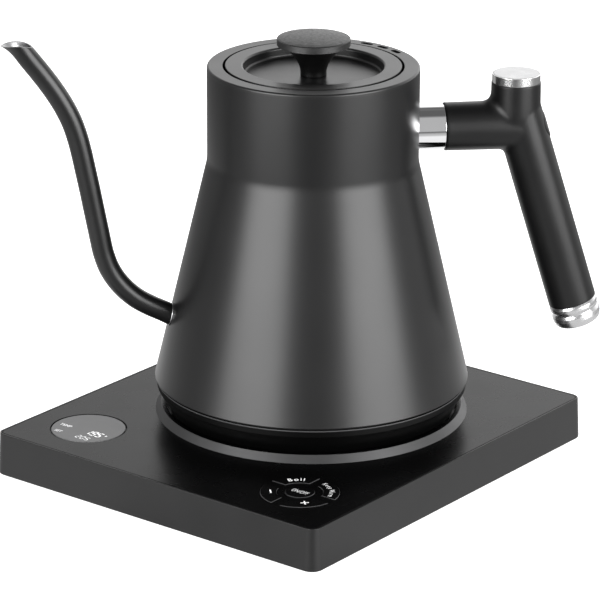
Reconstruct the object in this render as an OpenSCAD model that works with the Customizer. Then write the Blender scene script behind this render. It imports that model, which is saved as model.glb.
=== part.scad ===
// Gooseneck kettle on its power base. Millimetres, +Z up.
// Origin: the kettle's turning axis, at the surface the base stands on.
// The spout points along -X and the handle along +X; the power base stands 45 degrees turned below it.

/* [Power base] */
// Width of the base at its top edge, along the user's side
base_w = 192.2; // [190:0.1:200]
// Depth of the base at its top edge
base_d = 215.1; // [214:0.1:224]
// Height of the base's top face above the table
base_top = 22.2; // [22.2:0.1:22.4]
// Plan corner radius of the base
base_r = 5; // [4:0.5:8]
// How much wider the base is at its foot than at its top, each side
base_draft = 1; // [0:0.1:2]
// Distance from the base's centre back to the kettle's axis
axis_back = 14.5; // [12:0.5:16]
// Angle of the base against the spout-to-handle line
base_turn = -45; // [-90:5:90]
// Height of the rubber feet under the base
foot_h = 1.5; // [1.5:0.1:1.6]

/* [Display and keys] */
// Radius of the round display window
disp_r = 18; // [16:0.5:18]
// Display centre left of the base's middle
disp_u = 65; // [62:0.5:68]
// Key pad centre right of the base's middle
pad_u = 63.5; // [62:0.5:66]
// Display and key pad centre in front of the base's middle
disp_v = 76; // [74:0.5:78]
// Outer radius of the ring of four keys
pad_r = 18.4; // [17.5:0.1:18.4]
// Inner radius of the ring of four keys
pad_ri = 10.7; // [10:0.1:11.2]
// Radius of the round ON/OFF key
key_r = 6.9; // [6:0.1:7]
// Half the width of the bars between the four keys
key_bar = 2.5; // [2:0.1:3]
// How far the keys stand above the top face
key_up = 0.4; // [0:0.05:0.5]
// Travel of each key
key_travel = 0.7; // [0.4:0.1:0.7]

/* [Kettle body] */
// Radius of the body at its bottom edge
body_r0 = 76.1; // [75.8:0.1:76.4]
// Height of the body's bottom edge
body_z0 = 39.4; // [39.4:0.1:39.6]
// Radius of the upright neck
neck_r = 50.4; // [50.2:0.1:51]
// Height of the bend between cone and neck
knee_z = 148.1; // [140:0.1:152]
// Height of the flat rim
rim_z = 194.35; // [194.3:0.05:194.5]
// Wall of the steel body
wall = 0.9; // [0.6:0.1:1.0]
// Inner radius of the filling opening
mouth_r = 42.75; // [42.5:0.05:43]

/* [Lid] */
// Radius of the lid
lid_r = 41.95; // [41.5:0.05:42.1]
// Height of the lid's flat rim
lid_z = 194.55; // [194.4:0.05:194.8]
// Radius of the dish in the lid
dish_r = 33.2; // [30:0.1:34]
// Height of the dish's floor
dish_z = 189.6; // [189:0.1:190]
// Radius of the knob's disc
knob_r = 17.4; // [15:0.1:18.5]
// Height of the knob's top
knob_top = 208.8; // [208.5:0.1:209]

/* [Spout] */
// Outer radius of the spout's tube
spout_r = 5.05; // [4.8:0.05:5.1]
// Wall of the spout's tube
spout_wall = 0.75; // [0.6:0.05:0.9]
// Height of the spout's mouth
spout_top = 208.2; // [208:0.1:208.5]

/* [Handle] */
// Height of the handle's arm
arm_z = 162.2; // [162:0.1:163]
// Radius of the arm
arm_r = 11.55; // [11.2:0.05:11.7]
// Radius of the chrome ferrule between body and arm
ferrule_r = 10.75; // [10:0.05:11]
// Where the ferrule ends and the black arm starts
arm_x0 = 62.9; // [62:0.1:64]
// Distance of the upright neck of the handle from the kettle's axis
post_x = 97.3; // [97:0.1:98]
// Radius of the upright neck of the handle
post_r = 11.95; // [11.8:0.05:12.1]
// Height of the black neck's top
post_z = 183.5; // [183:0.1:184]
// Radius of the slanting grip
grip_r = 11.6; // [11.4:0.05:11.8]
// Lean of the grip from upright
grip_lean = 17; // [16:0.5:18]
// Length of the grip from its bend
grip_len = 104.2; // [100:0.1:106]

/* [Hidden] */
$fn = 96;
e = 0.01;
deck_z = 20.9;      // top of the housing's deck, under the top panel
deck_b = 18.6;      // underside of the deck
hub_r = 19;         // radius of the base's connector
hub_z = 33.6;       // top of the connector
ring_r = 75.75;     // outer foot of the seat ring
ring_ri = 70.6;     // inner wall of the seat ring
ring_z = 25.8;      // top of the seat ring
cone_k = (body_r0 - neck_r) / (knee_z - body_z0);   // how much the cone narrows per mm of height
grip_z0 = 172.2;    // height at which the grip's axis meets the post's
spout_pts = [[-68.45, 72.2], [-72.4, 74.3], [-76.2, 76.1], [-80.0, 78.1], [-83.8, 80.4], [-87.6, 83.4], [-91.2, 87.0],
             [-94.3, 90.9], [-96.7, 94.8], [-98.4, 98.4], [-99.7, 102.2], [-100.8, 106.3], [-102.3, 114.3], [-103.8, 122.3],
             [-105.3, 130.3], [-106.8, 138.3], [-108.4, 146.3], [-110.0, 154.3], [-111.9, 162.3], [-114.5, 170.3],
             [-118.2, 178.2], [-122.9, 186.1], [-128.5, 194.1], [-134.5, 202.0], [-139.4, spout_top]];
root_x = cone_r(72.25) + 0.06;   // where the spout leaves the body
root_a = 27;        // slope of the spout there
vent_a = [24.6, 36.8, 49.0];
key_a = [135, 45, -45, -135];   // boil, keep warm, plus, minus

// ---- helpers -------------------------------------------------------------
// everything that belongs to the power base is drawn about the base's own middle
module on_base() rotate([0, 0, base_turn]) translate([0, -axis_back, 0]) children();

// rounded rectangle, true arcs
module rr(w, d, r) {
    square([w - 2 * r, d], center = true);
    square([w, d - 2 * r], center = true);
    for (x = [-1, 1], y = [-1, 1]) translate([x * (w / 2 - r), y * (d / 2 - r)]) circle(r);
}
// thin rounded slab, for the drafted wall
module slab(w, d, r, z) for (x = [-1, 1], y = [-1, 1])
    translate([x * (w / 2 - r), y * (d / 2 - r), z]) cylinder(r = r, h = 0.01, $fn = 48);

module tube(ro, ri, z0, z1) translate([0, 0, z0]) difference() {
    cylinder(r = ro, h = z1 - z0);
    translate([0, 0, -1]) cylinder(r = ri, h = z1 - z0 + 2);
}
module rod(r, z0, z1) translate([0, 0, z0]) cylinder(r = r, h = z1 - z0);
module along_x(x, z) translate([x, 0, z]) rotate([0, 90, 0]) children();

// outer radius of the cone at a height
function cone_r(z) = body_r0 - cone_k * (z - body_z0);

// outline of one of the four ring keys, grown by g
module key_outline(a, g) rotate(a - 45) difference() {
    intersection() {
        circle(pad_r + g);
        translate([key_bar - g, key_bar - g]) square(30);
    }
    circle(pad_ri - g);
}
module at_pad() translate([pad_u, -disp_v, 0]) children();
module at_disp() translate([-disp_u, -disp_v, 0]) children();
function key_stem(i) = [14.6 * cos(key_a[i]), 14.6 * sin(key_a[i])];

// ---- power base ----------------------------------------------------------
module base_housing() color([0.13, 0.13, 0.135]) on_base() difference() {
    union() {
        difference() {
            hull() {
                slab(base_w + 2 * base_draft, base_d + 2 * base_draft, base_r + 1, foot_h);
                slab(base_w, base_d, base_r, base_top - 0.45);
                slab(base_w - 0.7, base_d - 0.7, base_r - 0.3, base_top - 0.01);
            }
            // room inside, open below
            translate([0, 0, -1]) linear_extrude(deck_b + 1) rr(186, 209, 3);
            // bed of the top panel
            translate([0, 0, deck_z]) linear_extrude(5) rr(base_w - 2.0, base_d - 2.0, base_r - 1);
        }
        // screw bosses
        for (x = [-1, 1], y = [-1, 1]) translate([87.5 * x, 99 * y, 0]) rod(3.4, 3.75, deck_b + 0.2);
    }
    for (x = [-1, 1], y = [-1, 1]) translate([87.5 * x, 99 * y, 0]) rod(1.55, 1, 14);
    translate([0, axis_back, 0]) rod(hub_r + 0.1, 10, 30);
    at_pad() rod(19.6, 10, 30);
    at_disp() translate([-13.5, -8.5, 10]) cube([27, 17, 20]);
    // cord outlet in the back wall, with a bed for the gland's flange
    translate([-55, 100, 10.5]) rotate([-90, 0, 0]) cylinder(r = 5.2, h = 20);
    translate([-55, 107.25, 10.5]) rotate([-90, 0, 0]) cylinder(r = 6.8, h = 20);
}
module base_panel() color([0.05, 0.05, 0.055]) on_base() translate([0, 0, deck_z + 0.05]) linear_extrude(base_top - deck_z - 0.05) difference() {
    rr(base_w - 2.5, base_d - 2.5, base_r - 1.25);
    translate([0, axis_back]) circle(73);
    translate([-disp_u, -disp_v]) circle(disp_r + 0.35);
    translate([pad_u, -disp_v]) {
        circle(key_r + 0.2);
        for (a = key_a) key_outline(a, 0.2);
    }
}
module base_bottom() color([0.1, 0.1, 0.1]) on_base() difference() {
    union() {
        translate([0, 0, foot_h]) linear_extrude(2.2) rr(185.4, 208.4, 2.7);
        // posts for the two boards
        for (x = [-80, 80], y = [-62, -88]) translate([x, y, 0]) { rod(2.6, 3, 7.35); rod(1.3, 3, 10); }
        for (x = [-42, 42], y = [50.5, 87.5]) translate([x, y, 0]) { rod(2.2, 3, 5.45); rod(1.1, 3, 8); }
    }
    for (x = [-1, 1], y = [-1, 1]) translate([87.5 * x, 99 * y, 0]) { rod(1.7, 0, 5); rod(3.3, 0, foot_h + 1.2); }
}
module base_screws() color([0.6, 0.6, 0.62]) on_base()
    for (x = [-1, 1], y = [-1, 1]) translate([87.5 * x, 99 * y, 0]) difference() {
        union() { rod(3.0, 1.6, 2.65); rod(1.5, 2.6, 13); }
        translate([-2, -0.35, 1.5]) cube([4, 0.7, 0.6]);
        translate([-0.35, -2, 1.5]) cube([0.7, 4, 0.6]);
    }
module base_feet() color([0.07, 0.07, 0.07]) on_base()
    for (x = [-1, 1], y = [-1, 1]) translate([76 * x, 90 * y, 0]) rotate_extrude()
        polygon([[0, 0], [7.4, 0], [8, 0.6], [8, foot_h - 0.02], [0, foot_h - 0.02]]);
module foot_ring() color([0.07, 0.07, 0.07]) tube(56, 50, 0, foot_h - 0.02);
module seat_ring() color([0.25, 0.25, 0.26]) rotate_extrude()
    polygon([[ring_ri, deck_z + 0.05], [72.8, deck_z + 0.05], [72.8, base_top], [ring_r, base_top], [ring_r - 0.15, base_top + 0.5],
             [73.15, ring_z - 0.25], [72.9, ring_z], [ring_ri + 0.3, ring_z], [ring_ri, ring_z - 0.3]]);
module base_connector() color([0.08, 0.08, 0.08]) difference() {
    union() {
        rod(hub_r, 15, hub_z - 0.6);
        rod(hub_r - 0.6, 20, hub_z);
        rod(24, 15.6, deck_b - 0.05);
        rod(14, 8, 16);
    }
    tube(15.5, 12.9, 26.5, 40);
    rod(3.4, 25.5, 40);
}
module base_contacts() color([0.75, 0.6, 0.3]) {
    tube(3.35, 3.05, 25.6, 30);
    tube(13.25, 12.95, 26.6, 31);
    for (a = [30, 150, 270]) rotate(a) translate([9, -1.5, 4.5]) cube([0.8, 3, 3.45]);
}
// acetal glide ring that the kettle carries round the connector
module turn_collar() color([0.75, 0.75, 0.72]) difference() {
    tube(22.4, hub_r + 0.06, deck_z + 0.05, 25.05);
    for (a = [0, 120, 240]) rotate(a) translate([20.6, -1.5, 23.6]) cube([3, 3, 3]);
}
module display_window() color([0.35, 0.35, 0.36]) on_base() at_disp() rod(disp_r, deck_z + 0.1, base_top);
module display_module() color([0.15, 0.2, 0.2]) on_base() at_disp() {
    translate([-13, -8, 11]) cube([26, 16, 9.8]);
    for (i = [-2:2], s = [-1, 1]) translate([i * 4, s * 6, 9.05]) cylinder(r = 0.35, h = 1.97);
}
module button_frame() color([0.8, 0.8, 0.8]) on_base() at_pad() difference() {
    union() { rod(21.5, 15.8, 17.5); tube(21.5, 19.8, 17.4, deck_b - 0.03); }
    rod(1.56, 10, 20);
    for (i = [0:3]) translate(key_stem(i)) rod(1.56, 10, 20);
}
// a ring key: cap, wider skirt under the panel, guide stem
module ring_key(i) on_base() at_pad() {
    union() {
            translate([0, 0, 19.9]) linear_extrude(base_top + key_up - 0.2 - 19.9) key_outline(key_a[i], 0);
            translate([0, 0, 19.9]) linear_extrude(base_top + key_up - 19.9) key_outline(key_a[i], -0.2);
            translate([0, 0, 19.5]) linear_extrude(1.35) key_outline(key_a[i], 0.6);
        translate(key_stem(i)) rod(1.5, 13.2, 19.6);
    }
}
module on_off_button() color([0.06, 0.06, 0.06]) on_base() at_pad() {
    rod(key_r, 19.9, base_top + key_up - 0.2);
    rod(key_r - 0.2, 19.9, base_top + key_up);
    rod(key_r + 0.6, 19.5, 20.85);
    rod(1.5, 13.2, 19.6);
}
module boil_button() color([0.06, 0.06, 0.06]) ring_key(0);
module keep_warm_button() color([0.06, 0.06, 0.06]) ring_key(1);
module plus_button() color([0.06, 0.06, 0.06]) ring_key(2);
module minus_button() color([0.06, 0.06, 0.06]) ring_key(3);
module control_board() color([0.05, 0.3, 0.12]) on_base() difference() {
    translate([-88, -94, 7.4]) cube([174, 36, 1.6]);
    for (x = [-80, 80], y = [-62, -88]) translate([x, y, 0]) rod(1.4, 5, 12);
}
module tact_switches() color([0.2, 0.2, 0.22]) on_base() at_pad() for (p = [[0, 0], key_stem(0), key_stem(1), key_stem(2), key_stem(3)])
    translate([p[0], p[1], 0]) { translate([-3, -3, 9.02]) cube([6, 6, 2.4]); rod(1.7, 11.4, 13.2 - key_travel - 0.15); }
module buzzer() color([0.1, 0.1, 0.1]) on_base() translate([0, -76, 0]) difference() { rod(6, 9.02, 15); rod(1, 13, 16); }
module power_board() color([0.1, 0.35, 0.2]) on_base() {
    difference() {
        translate([-45, 48, 5.5]) cube([90, 42, 1.6]);
        for (x = [-42, 42], y = [50.5, 87.5]) translate([x, y, 0]) rod(1.2, 3, 9);
    }
    translate([-38, 53, 7.0]) cube([20, 16, 10]);          // relay
    translate([-12, 54, 7.0]) cube([24, 20, 10.5]);        // transformer
    translate([22, 60, 7.0]) cylinder(r = 5, h = 10.5);    // capacitor
    translate([34, 60, 7.0]) cylinder(r = 4, h = 9);
    translate([-38, 76, 7.0]) cube([18, 9, 8]);            // terminal block
}
module cord_gland() color([0.08, 0.08, 0.08]) on_base() translate([-55, 0, 10.5]) rotate([-90, 0, 0]) difference() {
    union() {
        rod(5.1, 98, 107.5);
        rod(6.7, 107.3, 108.4);
        rod(6.2, 98, 103.8);
    }
    rod(3.3, 90, 120);
}

// ---- kettle underside ----------------------------------------------------
module kettle_foot() color([0.04, 0.04, 0.04]) difference() {
    union() {
    rotate_extrude() polygon([[23, 21.15], [67.4, 21.15], [67.8, 21.5], [69.7, 25.9], [74.5, 35.0], [74.9, 35.4], [75.1, 35.9], [75.1, 37.85], [72.6, 37.85], [72.4, 35.3], [67.6, 26.4], [65.8, 23.15],
                              [25, 23.15], [25, 34.3], [23, 34.3]]);
    for (a = [60, 180, 300]) rotate(a) translate([50, 0, 0]) rod(4.6, 22, 24.2);
    }
    for (a = [60, 180, 300]) rotate(a) translate([50, 0, 0]) { rod(1.7, 20, 30); rod(3.2, 20, 22.75); }
}
module foot_trim() color([0.55, 0.55, 0.56]) rotate_extrude() polygon([[72.9, 37.9], [75.1, 37.9], [75.3, 38.05], [75.3, 38.35], [75.1, 38.5], [73.9, 38.5], [73.9, 39.2], [72.9, 39.2]]);
module foot_screws() color([0.6, 0.6, 0.62]) for (a = [60, 180, 300]) rotate(a) translate([50, 0, 0]) union() {
    rod(1.45, 22, 32);
    rod(2.95, 21.4, 22.7);
}
module kettle_connector() color([0.08, 0.08, 0.08]) union() {
    tube(22.5, 20, 25.3, 34.5);
    rod(22.5, 34.4, 37);
    tube(29, 22.4, 34.4, 36.2);
}
module kettle_contacts() color([0.75, 0.6, 0.3]) {
    rod(2.5, 26.6, 34.35);
    tube(14.7, 13.7, 27.6, 34.35);
}
module heater_plate() color([0.7, 0.7, 0.71]) difference() {
    union() {
        rotate_extrude() polygon([[0, 46], [71.6, 46], [71.6, 38.75], [72.8, 38.75], [72.8, 46.1], [cone_r(48) - wall - 0.15, 48], [0, 48]]);
        for (a = [60, 180, 300]) rotate(a) translate([50, 0, 0]) rod(3.2, 24.3, 46.1);
    }
    for (a = [60, 180, 300]) rotate(a) translate([50, 0, 0]) rod(1.5, 20, 33);
    rotate(-60) translate([32, 0, 0]) rod(3.05, 30, 60);
}
module heating_element() color([0.45, 0.42, 0.4]) {
    translate([0, 0, 42.6]) rotate([0, 0, 20]) rotate_extrude(angle = 320) translate([40, 0]) circle(3.3);
    for (a = [20, 340]) rotate(a) translate([40, 0, 39.8]) rotate([0, 0, 0]) rod(1.2, -3, 1);
}
module thermal_cutoffs() color([0.85, 0.82, 0.75]) for (a = [100, 220]) rotate(a) translate([22, 0, 0]) { rod(6, 40, 45.95); rod(2, 38.2, 40.1); }
module temperature_sensor() color([0.75, 0.75, 0.76]) rotate(-60) translate([32, 0, 0]) rotate_extrude()
    polygon([[0, 40], [4.2, 40], [4.2, 45.9], [3.0, 45.9], [3.0, 53], [2.2, 53.9], [0, 54]]);

// ---- kettle body ---------------------------------------------------------
module body_shell() color([0.16, 0.16, 0.165]) difference() {
    rotate_extrude() polygon(concat(
        // outside, upward: rolled edge, cone, bend, neck
        [[body_r0 - 1.2, body_z0], [body_r0 - 0.6, body_z0 + 0.12], [body_r0 - 0.28, body_z0 + 0.45], [body_r0 - 0.2, body_z0 + 0.9]],
        [for (i = [0:4]) let (t = i / 4, z = knee_z - 1.6 + 3.2 * t) [neck_r + cone_k * 1.6 * (1 - t) * (1 - t), z]],
        [[neck_r, rim_z - 1.7]],
        // inside, downward
        [[neck_r - wall, rim_z - 1.7]],
        [for (i = [4:-1:0]) let (t = i / 4, z = knee_z - 1.6 + 3.2 * t) [neck_r + cone_k * 1.6 * (1 - t) * (1 - t) - wall, z]],
        [[body_r0 - wall - 0.25, body_z0 + 0.9], [body_r0 - wall - 0.4, body_z0]]));
    // spout opening
    translate([-root_x, 0, 72.05]) rotate([0, 90 - root_a + 180, 0]) translate([0, 0, -8]) cylinder(r = 3.9, h = 16);
}
module rim_ring() color([0.17, 0.17, 0.175]) difference() {
    rotate_extrude() polygon([[mouth_r, 177], [mouth_r + 1.2, 177], [mouth_r + 1.2, rim_z - 1.6], [48.3, rim_z - 1.6], [48.3, 187], [49.3, 187], [49.3, rim_z - 1.6],
        [neck_r - 0.05, rim_z - 1.6], [neck_r - 0.15, rim_z - 1.15], [neck_r - 0.55, rim_z - 0.55], [neck_r - 1.1, rim_z - 0.15], [neck_r - 1.8, rim_z], [mouth_r + 0.35, rim_z], [mouth_r, rim_z - 0.35]]);
    // steam vents
    for (a = vent_a) rotate(a) translate([46.7, 0, 180]) linear_extrude(20) {
        square([1.9, 4.5], center = true);
        translate([0, 2.25]) circle(0.95);
        translate([0, -2.25]) circle(0.95);
    }
}

// ---- spout ---------------------------------------------------------------
function cr(a, b, c, d, t) = 0.5 * ((2 * b) + (c - a) * t + (2 * a - 5 * b + 4 * c - d) * t * t + (3 * b - a - 3 * c + d) * t * t * t);
sp_n = len(spout_pts);
sp_p = concat([2 * spout_pts[0] - spout_pts[1]], spout_pts, [2 * spout_pts[sp_n - 1] - spout_pts[sp_n - 2]]);
sp_sub = 2;
sp_c = concat([for (i = [0:sp_n - 2], j = [0:sp_sub - 1]) cr(sp_p[i], sp_p[i + 1], sp_p[i + 2], sp_p[i + 3], j / sp_sub)], [spout_pts[sp_n - 1]]);
sp_m = len(sp_c);
function unit(v) = v / norm(v);
function sp_t(i) = unit(sp_c[min(i + 1, sp_m - 1)] - sp_c[max(i - 1, 0)]);
// in-plane direction of ring i: square to the tube, but level at the mouth and along the cone at the root
function sp_root(i) = max(0, 1 - i / 5);
function sp_tip(i) = max(0, 1 - (sp_m - 1 - i) / 5);
function sp_s(i) = let (t = sp_t(i), n = [t[1], -t[0]])
    sp_tip(i) * (-n[1] / t[1]) + sp_root(i) * ((n[0] - cone_k * -1 * n[1] * -1) / (-(t[0] + cone_k * -1 * t[1] * -1)));
function sp_n1(i) = let (t = sp_t(i), n = [t[1], -t[0]]) n + sp_s(i) * t;
function sp_ring(i, r, k) = let (n = sp_n1(i), g = r * (1 + 0.1 * pow(sp_tip(i), 2)), lip = 0.35 * pow(sp_tip(i), 2))
    [for (j = [0:k - 1]) let (a = 360 * j / k) [sp_c[i][0] + g * cos(a) * n[0] - lip, r * (1 + 0.04 * sp_tip(i)) * sin(a), sp_c[i][1] + g * cos(a) * n[1]]];
module spout() color([0.15, 0.15, 0.155]) {
    k = 24;
    pts = concat([for (i = [0:sp_m - 1]) each sp_ring(i, spout_r, k)], [for (i = [0:sp_m - 1]) each sp_ring(i, spout_r - spout_wall, k)]);
    o = sp_m * k;
    faces = concat(
        [for (i = [0:sp_m - 2], j = [0:k - 1]) let (a = i * k + j, b = i * k + (j + 1) % k) each [[a, b, b + k], [a, b + k, a + k]]],
        [for (i = [0:sp_m - 2], j = [0:k - 1]) let (a = o + i * k + j, b = o + i * k + (j + 1) % k) each [[a, b + k, b], [a, a + k, b + k]]],
        [for (j = [0:k - 1]) let (a = j, b = (j + 1) % k) each [[a, o + b, b], [a, o + a, o + b]]],
        [for (j = [0:k - 1]) let (a = (sp_m - 1) * k + j, b = (sp_m - 1) * k + (j + 1) % k) each [[a, b, o + b], [a, o + b, o + a]]]);
    polyhedron(pts, faces, convexity = 10);
}
// weld bead round the spout's root
module spout_ring() color([0.2, 0.2, 0.2]) intersection() {
    translate([-root_x, 0, 72.05]) rotate([0, 90 - root_a + 180, 0]) difference() {
        translate([0, 0, -8]) cylinder(r = spout_r + 0.55, h = 16);
        translate([0, 0, -9]) cylinder(r = spout_r + 0.25, h = 18);
    }
    rotate_extrude() polygon([[cone_r(60) + 0.06, 60], [cone_r(60) + 1.0, 60], [cone_r(84) + 1.0, 84], [cone_r(84) + 0.06, 84]]);
}
// perforated cup inside the body, in front of the spout's hole
module spout_strainer() color([0.7, 0.7, 0.71]) translate([-root_x, 0, 72.05]) rotate([0, 90 + (90 - 77), 0]) translate([0, 0, 0]) difference() {
    translate([0, 0, 1.6]) cylinder(r = 8.5, h = 0.8);
    for (a = [0:60:300]) rotate(a) translate([2.6, 0, 0]) cylinder(r = 0.8, h = 5);
    for (a = [0:30:330]) rotate(a) translate([5.4, 0, 0]) cylinder(r = 0.8, h = 5);
    cylinder(r = 0.8, h = 5);
}

// ---- handle --------------------------------------------------------------
module handle_bracket() color([0.6, 0.6, 0.61]) difference() {
    along_x(45, arm_z) cylinder(r = 8, h = 62 - 45);
    cylinder(r = neck_r + 0.02, h = 400, center = true);
    along_x(52.5, arm_z) cylinder(r = 2.5, h = 20);
}
module handle_ferrule() color([0.85, 0.85, 0.86]) difference() {
    along_x(40, arm_z) cylinder(r = ferrule_r, h = arm_x0 - 40);
    cylinder(r = neck_r + 0.04, h = 400, center = true);
    along_x(39, arm_z) cylinder(r = 8.3, h = 60);
}
module at_grip() translate([post_x, 0, grip_z0]) rotate([0, 180 - grip_lean, 0]) children();
module handle_grip() color([0.09, 0.09, 0.09]) difference() {
    union() {
        along_x(arm_x0 + 0.05, arm_z) cylinder(r = arm_r, h = post_x - arm_x0);
        translate([post_x, 0, 162]) cylinder(r = post_r, h = post_z - 162);
        at_grip() cylinder(r = grip_r, h = grip_len);
        translate([post_x, 0, 162]) sphere(r = post_r - 0.02);
    }
    along_x(arm_x0 - 5, arm_z) cylinder(r = 2.7, h = 60);
    along_x(104, arm_z) cylinder(r = 6.25, h = 30);
    translate([post_x, 0, 177]) cylinder(r = 9.55, h = 20);
    at_grip() translate([0, 0, grip_len - 11]) cylinder(r = 8.05, h = 20);
}
module handle_bolt() color([0.6, 0.6, 0.62]) difference() {
    union() {
        along_x(53, arm_z) cylinder(r = 2.45, h = 104.1 - 53);
        along_x(104.05, arm_z) cylinder(r = 4.5, h = 4);
    }
    along_x(106, arm_z) cylinder(r = 2, h = 5, $fn = 6);
}
module bolt_plug() color([0.1, 0.1, 0.1]) intersection() {
    along_x(108.6, arm_z) cylinder(r = 6.15, h = 12);
    at_grip() translate([0, 0, -20]) cylinder(r = grip_r + 0.65, h = 60);
}
module handle_cap() color([0.85, 0.85, 0.86]) translate([post_x, 0, 0]) difference() {
    union() { rod(11.5, post_z + 0.05, 187.6); rod(9.5, 177.6, post_z + 0.1); }
    rod(11.15, 186.9, 190);
    rod(7.5, 170, 185);
}
module cap_disc() color([0.75, 0.75, 0.76]) translate([post_x, 0, 0]) rod(11.08, 186.95, 187.7);
module grip_end_cap() color([0.85, 0.85, 0.86]) at_grip() translate([0, 0, grip_len + 0.05]) rotate_extrude()
    polygon([[0, -10], [8, -10], [8, 0], [11.4, 0], [11.7, 0.35], [11.7, 3.7], [11.4, 4.0], [11.0, 4.1], [11.0, 4.8], [11.4, 4.9], [11.75, 5.2],
             [11.75, 8.7], [11.45, 9.6], [10.75, 10.7], [9.7, 11.4], [8.5, 11.75], [0, 11.85]]);

// ---- lid -----------------------------------------------------------------
module lid_cover() color([0.17, 0.17, 0.175]) difference() {
    rotate_extrude() polygon([[0, dish_z - 1], [dish_r - 0.2, dish_z - 1], [dish_r + 0.9, dish_z + 0.2], [dish_r + 1.1, lid_z - 1], [lid_r - 1, lid_z - 1], [lid_r - 1, 189],
        [lid_r, 189], [lid_r, lid_z - 0.6], [lid_r - 0.2, lid_z - 0.18], [lid_r - 0.6, lid_z], [dish_r + 0.7, lid_z], [dish_r + 0.2, lid_z - 0.2], [dish_r, lid_z - 0.7],
        [dish_r - 0.1, dish_z + 1.2], [dish_r - 0.4, dish_z + 0.45], [dish_r - 1.2, dish_z], [0, dish_z]]);
    rod(2.1, 180, 200);
}
module lid_inner() color([0.12, 0.12, 0.12]) difference() {
    rotate_extrude() polygon([[0, 178], [39.4, 178], [40.85, 179.4], [40.85, 181.9], [39.9, 181.9], [39.9, 185.1], [40.85, 185.1], [40.85, 193.5], [39.4, 193.5], [39.4, 185.6], [38.4, 185.1],
        [38.4, 179.4], [0, 179.4]]);
    for (a = [0:30:330]) rotate(a) translate([24, 0, 170]) cylinder(r = 1.1, h = 12);
}
module lid_seal() color([0.35, 0.35, 0.35]) rotate_extrude()
    polygon([[39.95, 182], [41.6, 182], [42.4, 183.3], [42.4, 183.7], [41.6, 185], [39.95, 185]]);
module lid_knob() color([0.12, 0.12, 0.125]) difference() {
    rotate_extrude() polygon([[0, dish_z + 0.02], [6.3, dish_z + 0.02], [6.2, 190.4], [6.2, 191.4], [6.4, 192.8], [7.0, 194.8], [7.6, 196.0], [8.4, 197.3], [9.4, 198.8], [10.6, 200.3], [12.0, 201.7], [13.8, 203.0], [15.8, 203.9], [17.0, 204.2],
        [knob_r, 204.4], [knob_r, knob_top - 1.5], [knob_r - 0.15, knob_top - 1.15], [knob_r - 0.5, knob_top - 0.95], [12, knob_top - 0.38], [6, knob_top - 0.08], [0, knob_top]]);
    rod(2.05, 180, 200);
}
module knob_screw() color([0.6, 0.6, 0.62]) union() {
    rod(2.0, 188.4, 199.5);
    rod(3.6, 186.4, dish_z - 1.05);
}

base_housing();
base_panel();
base_bottom();
base_screws();
base_feet();
foot_ring();
seat_ring();
base_connector();
base_contacts();
turn_collar();
display_window();
display_module();
button_frame();
on_off_button();
boil_button();
keep_warm_button();
plus_button();
minus_button();
control_board();
tact_switches();
buzzer();
power_board();
cord_gland();
kettle_foot();
foot_trim();
foot_screws();
kettle_connector();
kettle_contacts();
heater_plate();
heating_element();
thermal_cutoffs();
temperature_sensor();
body_shell();
rim_ring();
spout();
spout_ring();
spout_strainer();
handle_bracket();
handle_ferrule();
handle_grip();
handle_bolt();
bolt_plug();
handle_cap();
cap_disc();
grip_end_cap();
lid_cover();
lid_inner();
lid_seal();
lid_knob();
knob_screw();
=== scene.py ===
import math

import bmesh
import bpy
import numpy as np
from mathutils import Matrix, Vector
from mathutils.geometry import delaunay_2d_cdt


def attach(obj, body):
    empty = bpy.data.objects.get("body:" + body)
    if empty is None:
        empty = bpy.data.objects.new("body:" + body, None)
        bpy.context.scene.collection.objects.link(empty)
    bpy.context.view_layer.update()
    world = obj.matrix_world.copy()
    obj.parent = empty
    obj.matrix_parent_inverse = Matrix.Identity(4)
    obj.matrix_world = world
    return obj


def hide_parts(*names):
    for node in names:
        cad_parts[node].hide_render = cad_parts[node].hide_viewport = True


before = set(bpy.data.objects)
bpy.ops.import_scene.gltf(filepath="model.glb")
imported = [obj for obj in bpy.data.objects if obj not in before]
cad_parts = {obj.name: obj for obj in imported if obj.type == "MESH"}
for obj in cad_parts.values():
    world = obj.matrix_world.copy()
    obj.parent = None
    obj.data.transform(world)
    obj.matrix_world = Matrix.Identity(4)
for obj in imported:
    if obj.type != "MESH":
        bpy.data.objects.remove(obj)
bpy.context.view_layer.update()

MM = 0.001
rad = math.radians

# ---------------------------------------------------------------------------
# sizes, in millimetres, as in the CAD
# ---------------------------------------------------------------------------
BASE_W, BASE_D, BASE_TOP, BASE_R, DRAFT, AXIS_BACK = 192.2, 215.1, 22.2, 5.0, 1.0, 14.5
DISP = (-65.0, -76.0)
PAD = (63.5, -76.0)
PAD_R, PAD_RI, KEY_R, KEY_BAR, KEY_UP = 18.4, 10.7, 6.9, 2.5, 0.4
BODY_R0, BODY_Z0, NECK_R, KNEE_Z, RIM_Z = 76.1, 39.4, 50.4, 148.1, 194.35
CONE_K = (BODY_R0 - NECK_R) / (KNEE_Z - BODY_Z0)
ARM_Z, POST_X, GRIP_Z0, LEAN, GRIP_LEN = 162.2, 97.3, 172.2, 17.0, 104.2
ARM_R, POST_R, GRIP_R, SPOUT_R = 11.55, 11.95, 11.6, 5.05


def cone_r(z):
    return BODY_R0 - CONE_K * (z - BODY_Z0)


# ---------------------------------------------------------------------------
# mesh helpers
# ---------------------------------------------------------------------------
def on_base(p):
    """(u, v, z) about the base's middle -> row frame, both in mm"""
    p = np.asarray(p, float)
    u, v = p[..., 0], p[..., 1] - AXIS_BACK
    c = math.sqrt(0.5)
    return np.stack([(u + v) * c, (v - u) * c, p[..., 2]], -1)


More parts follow.
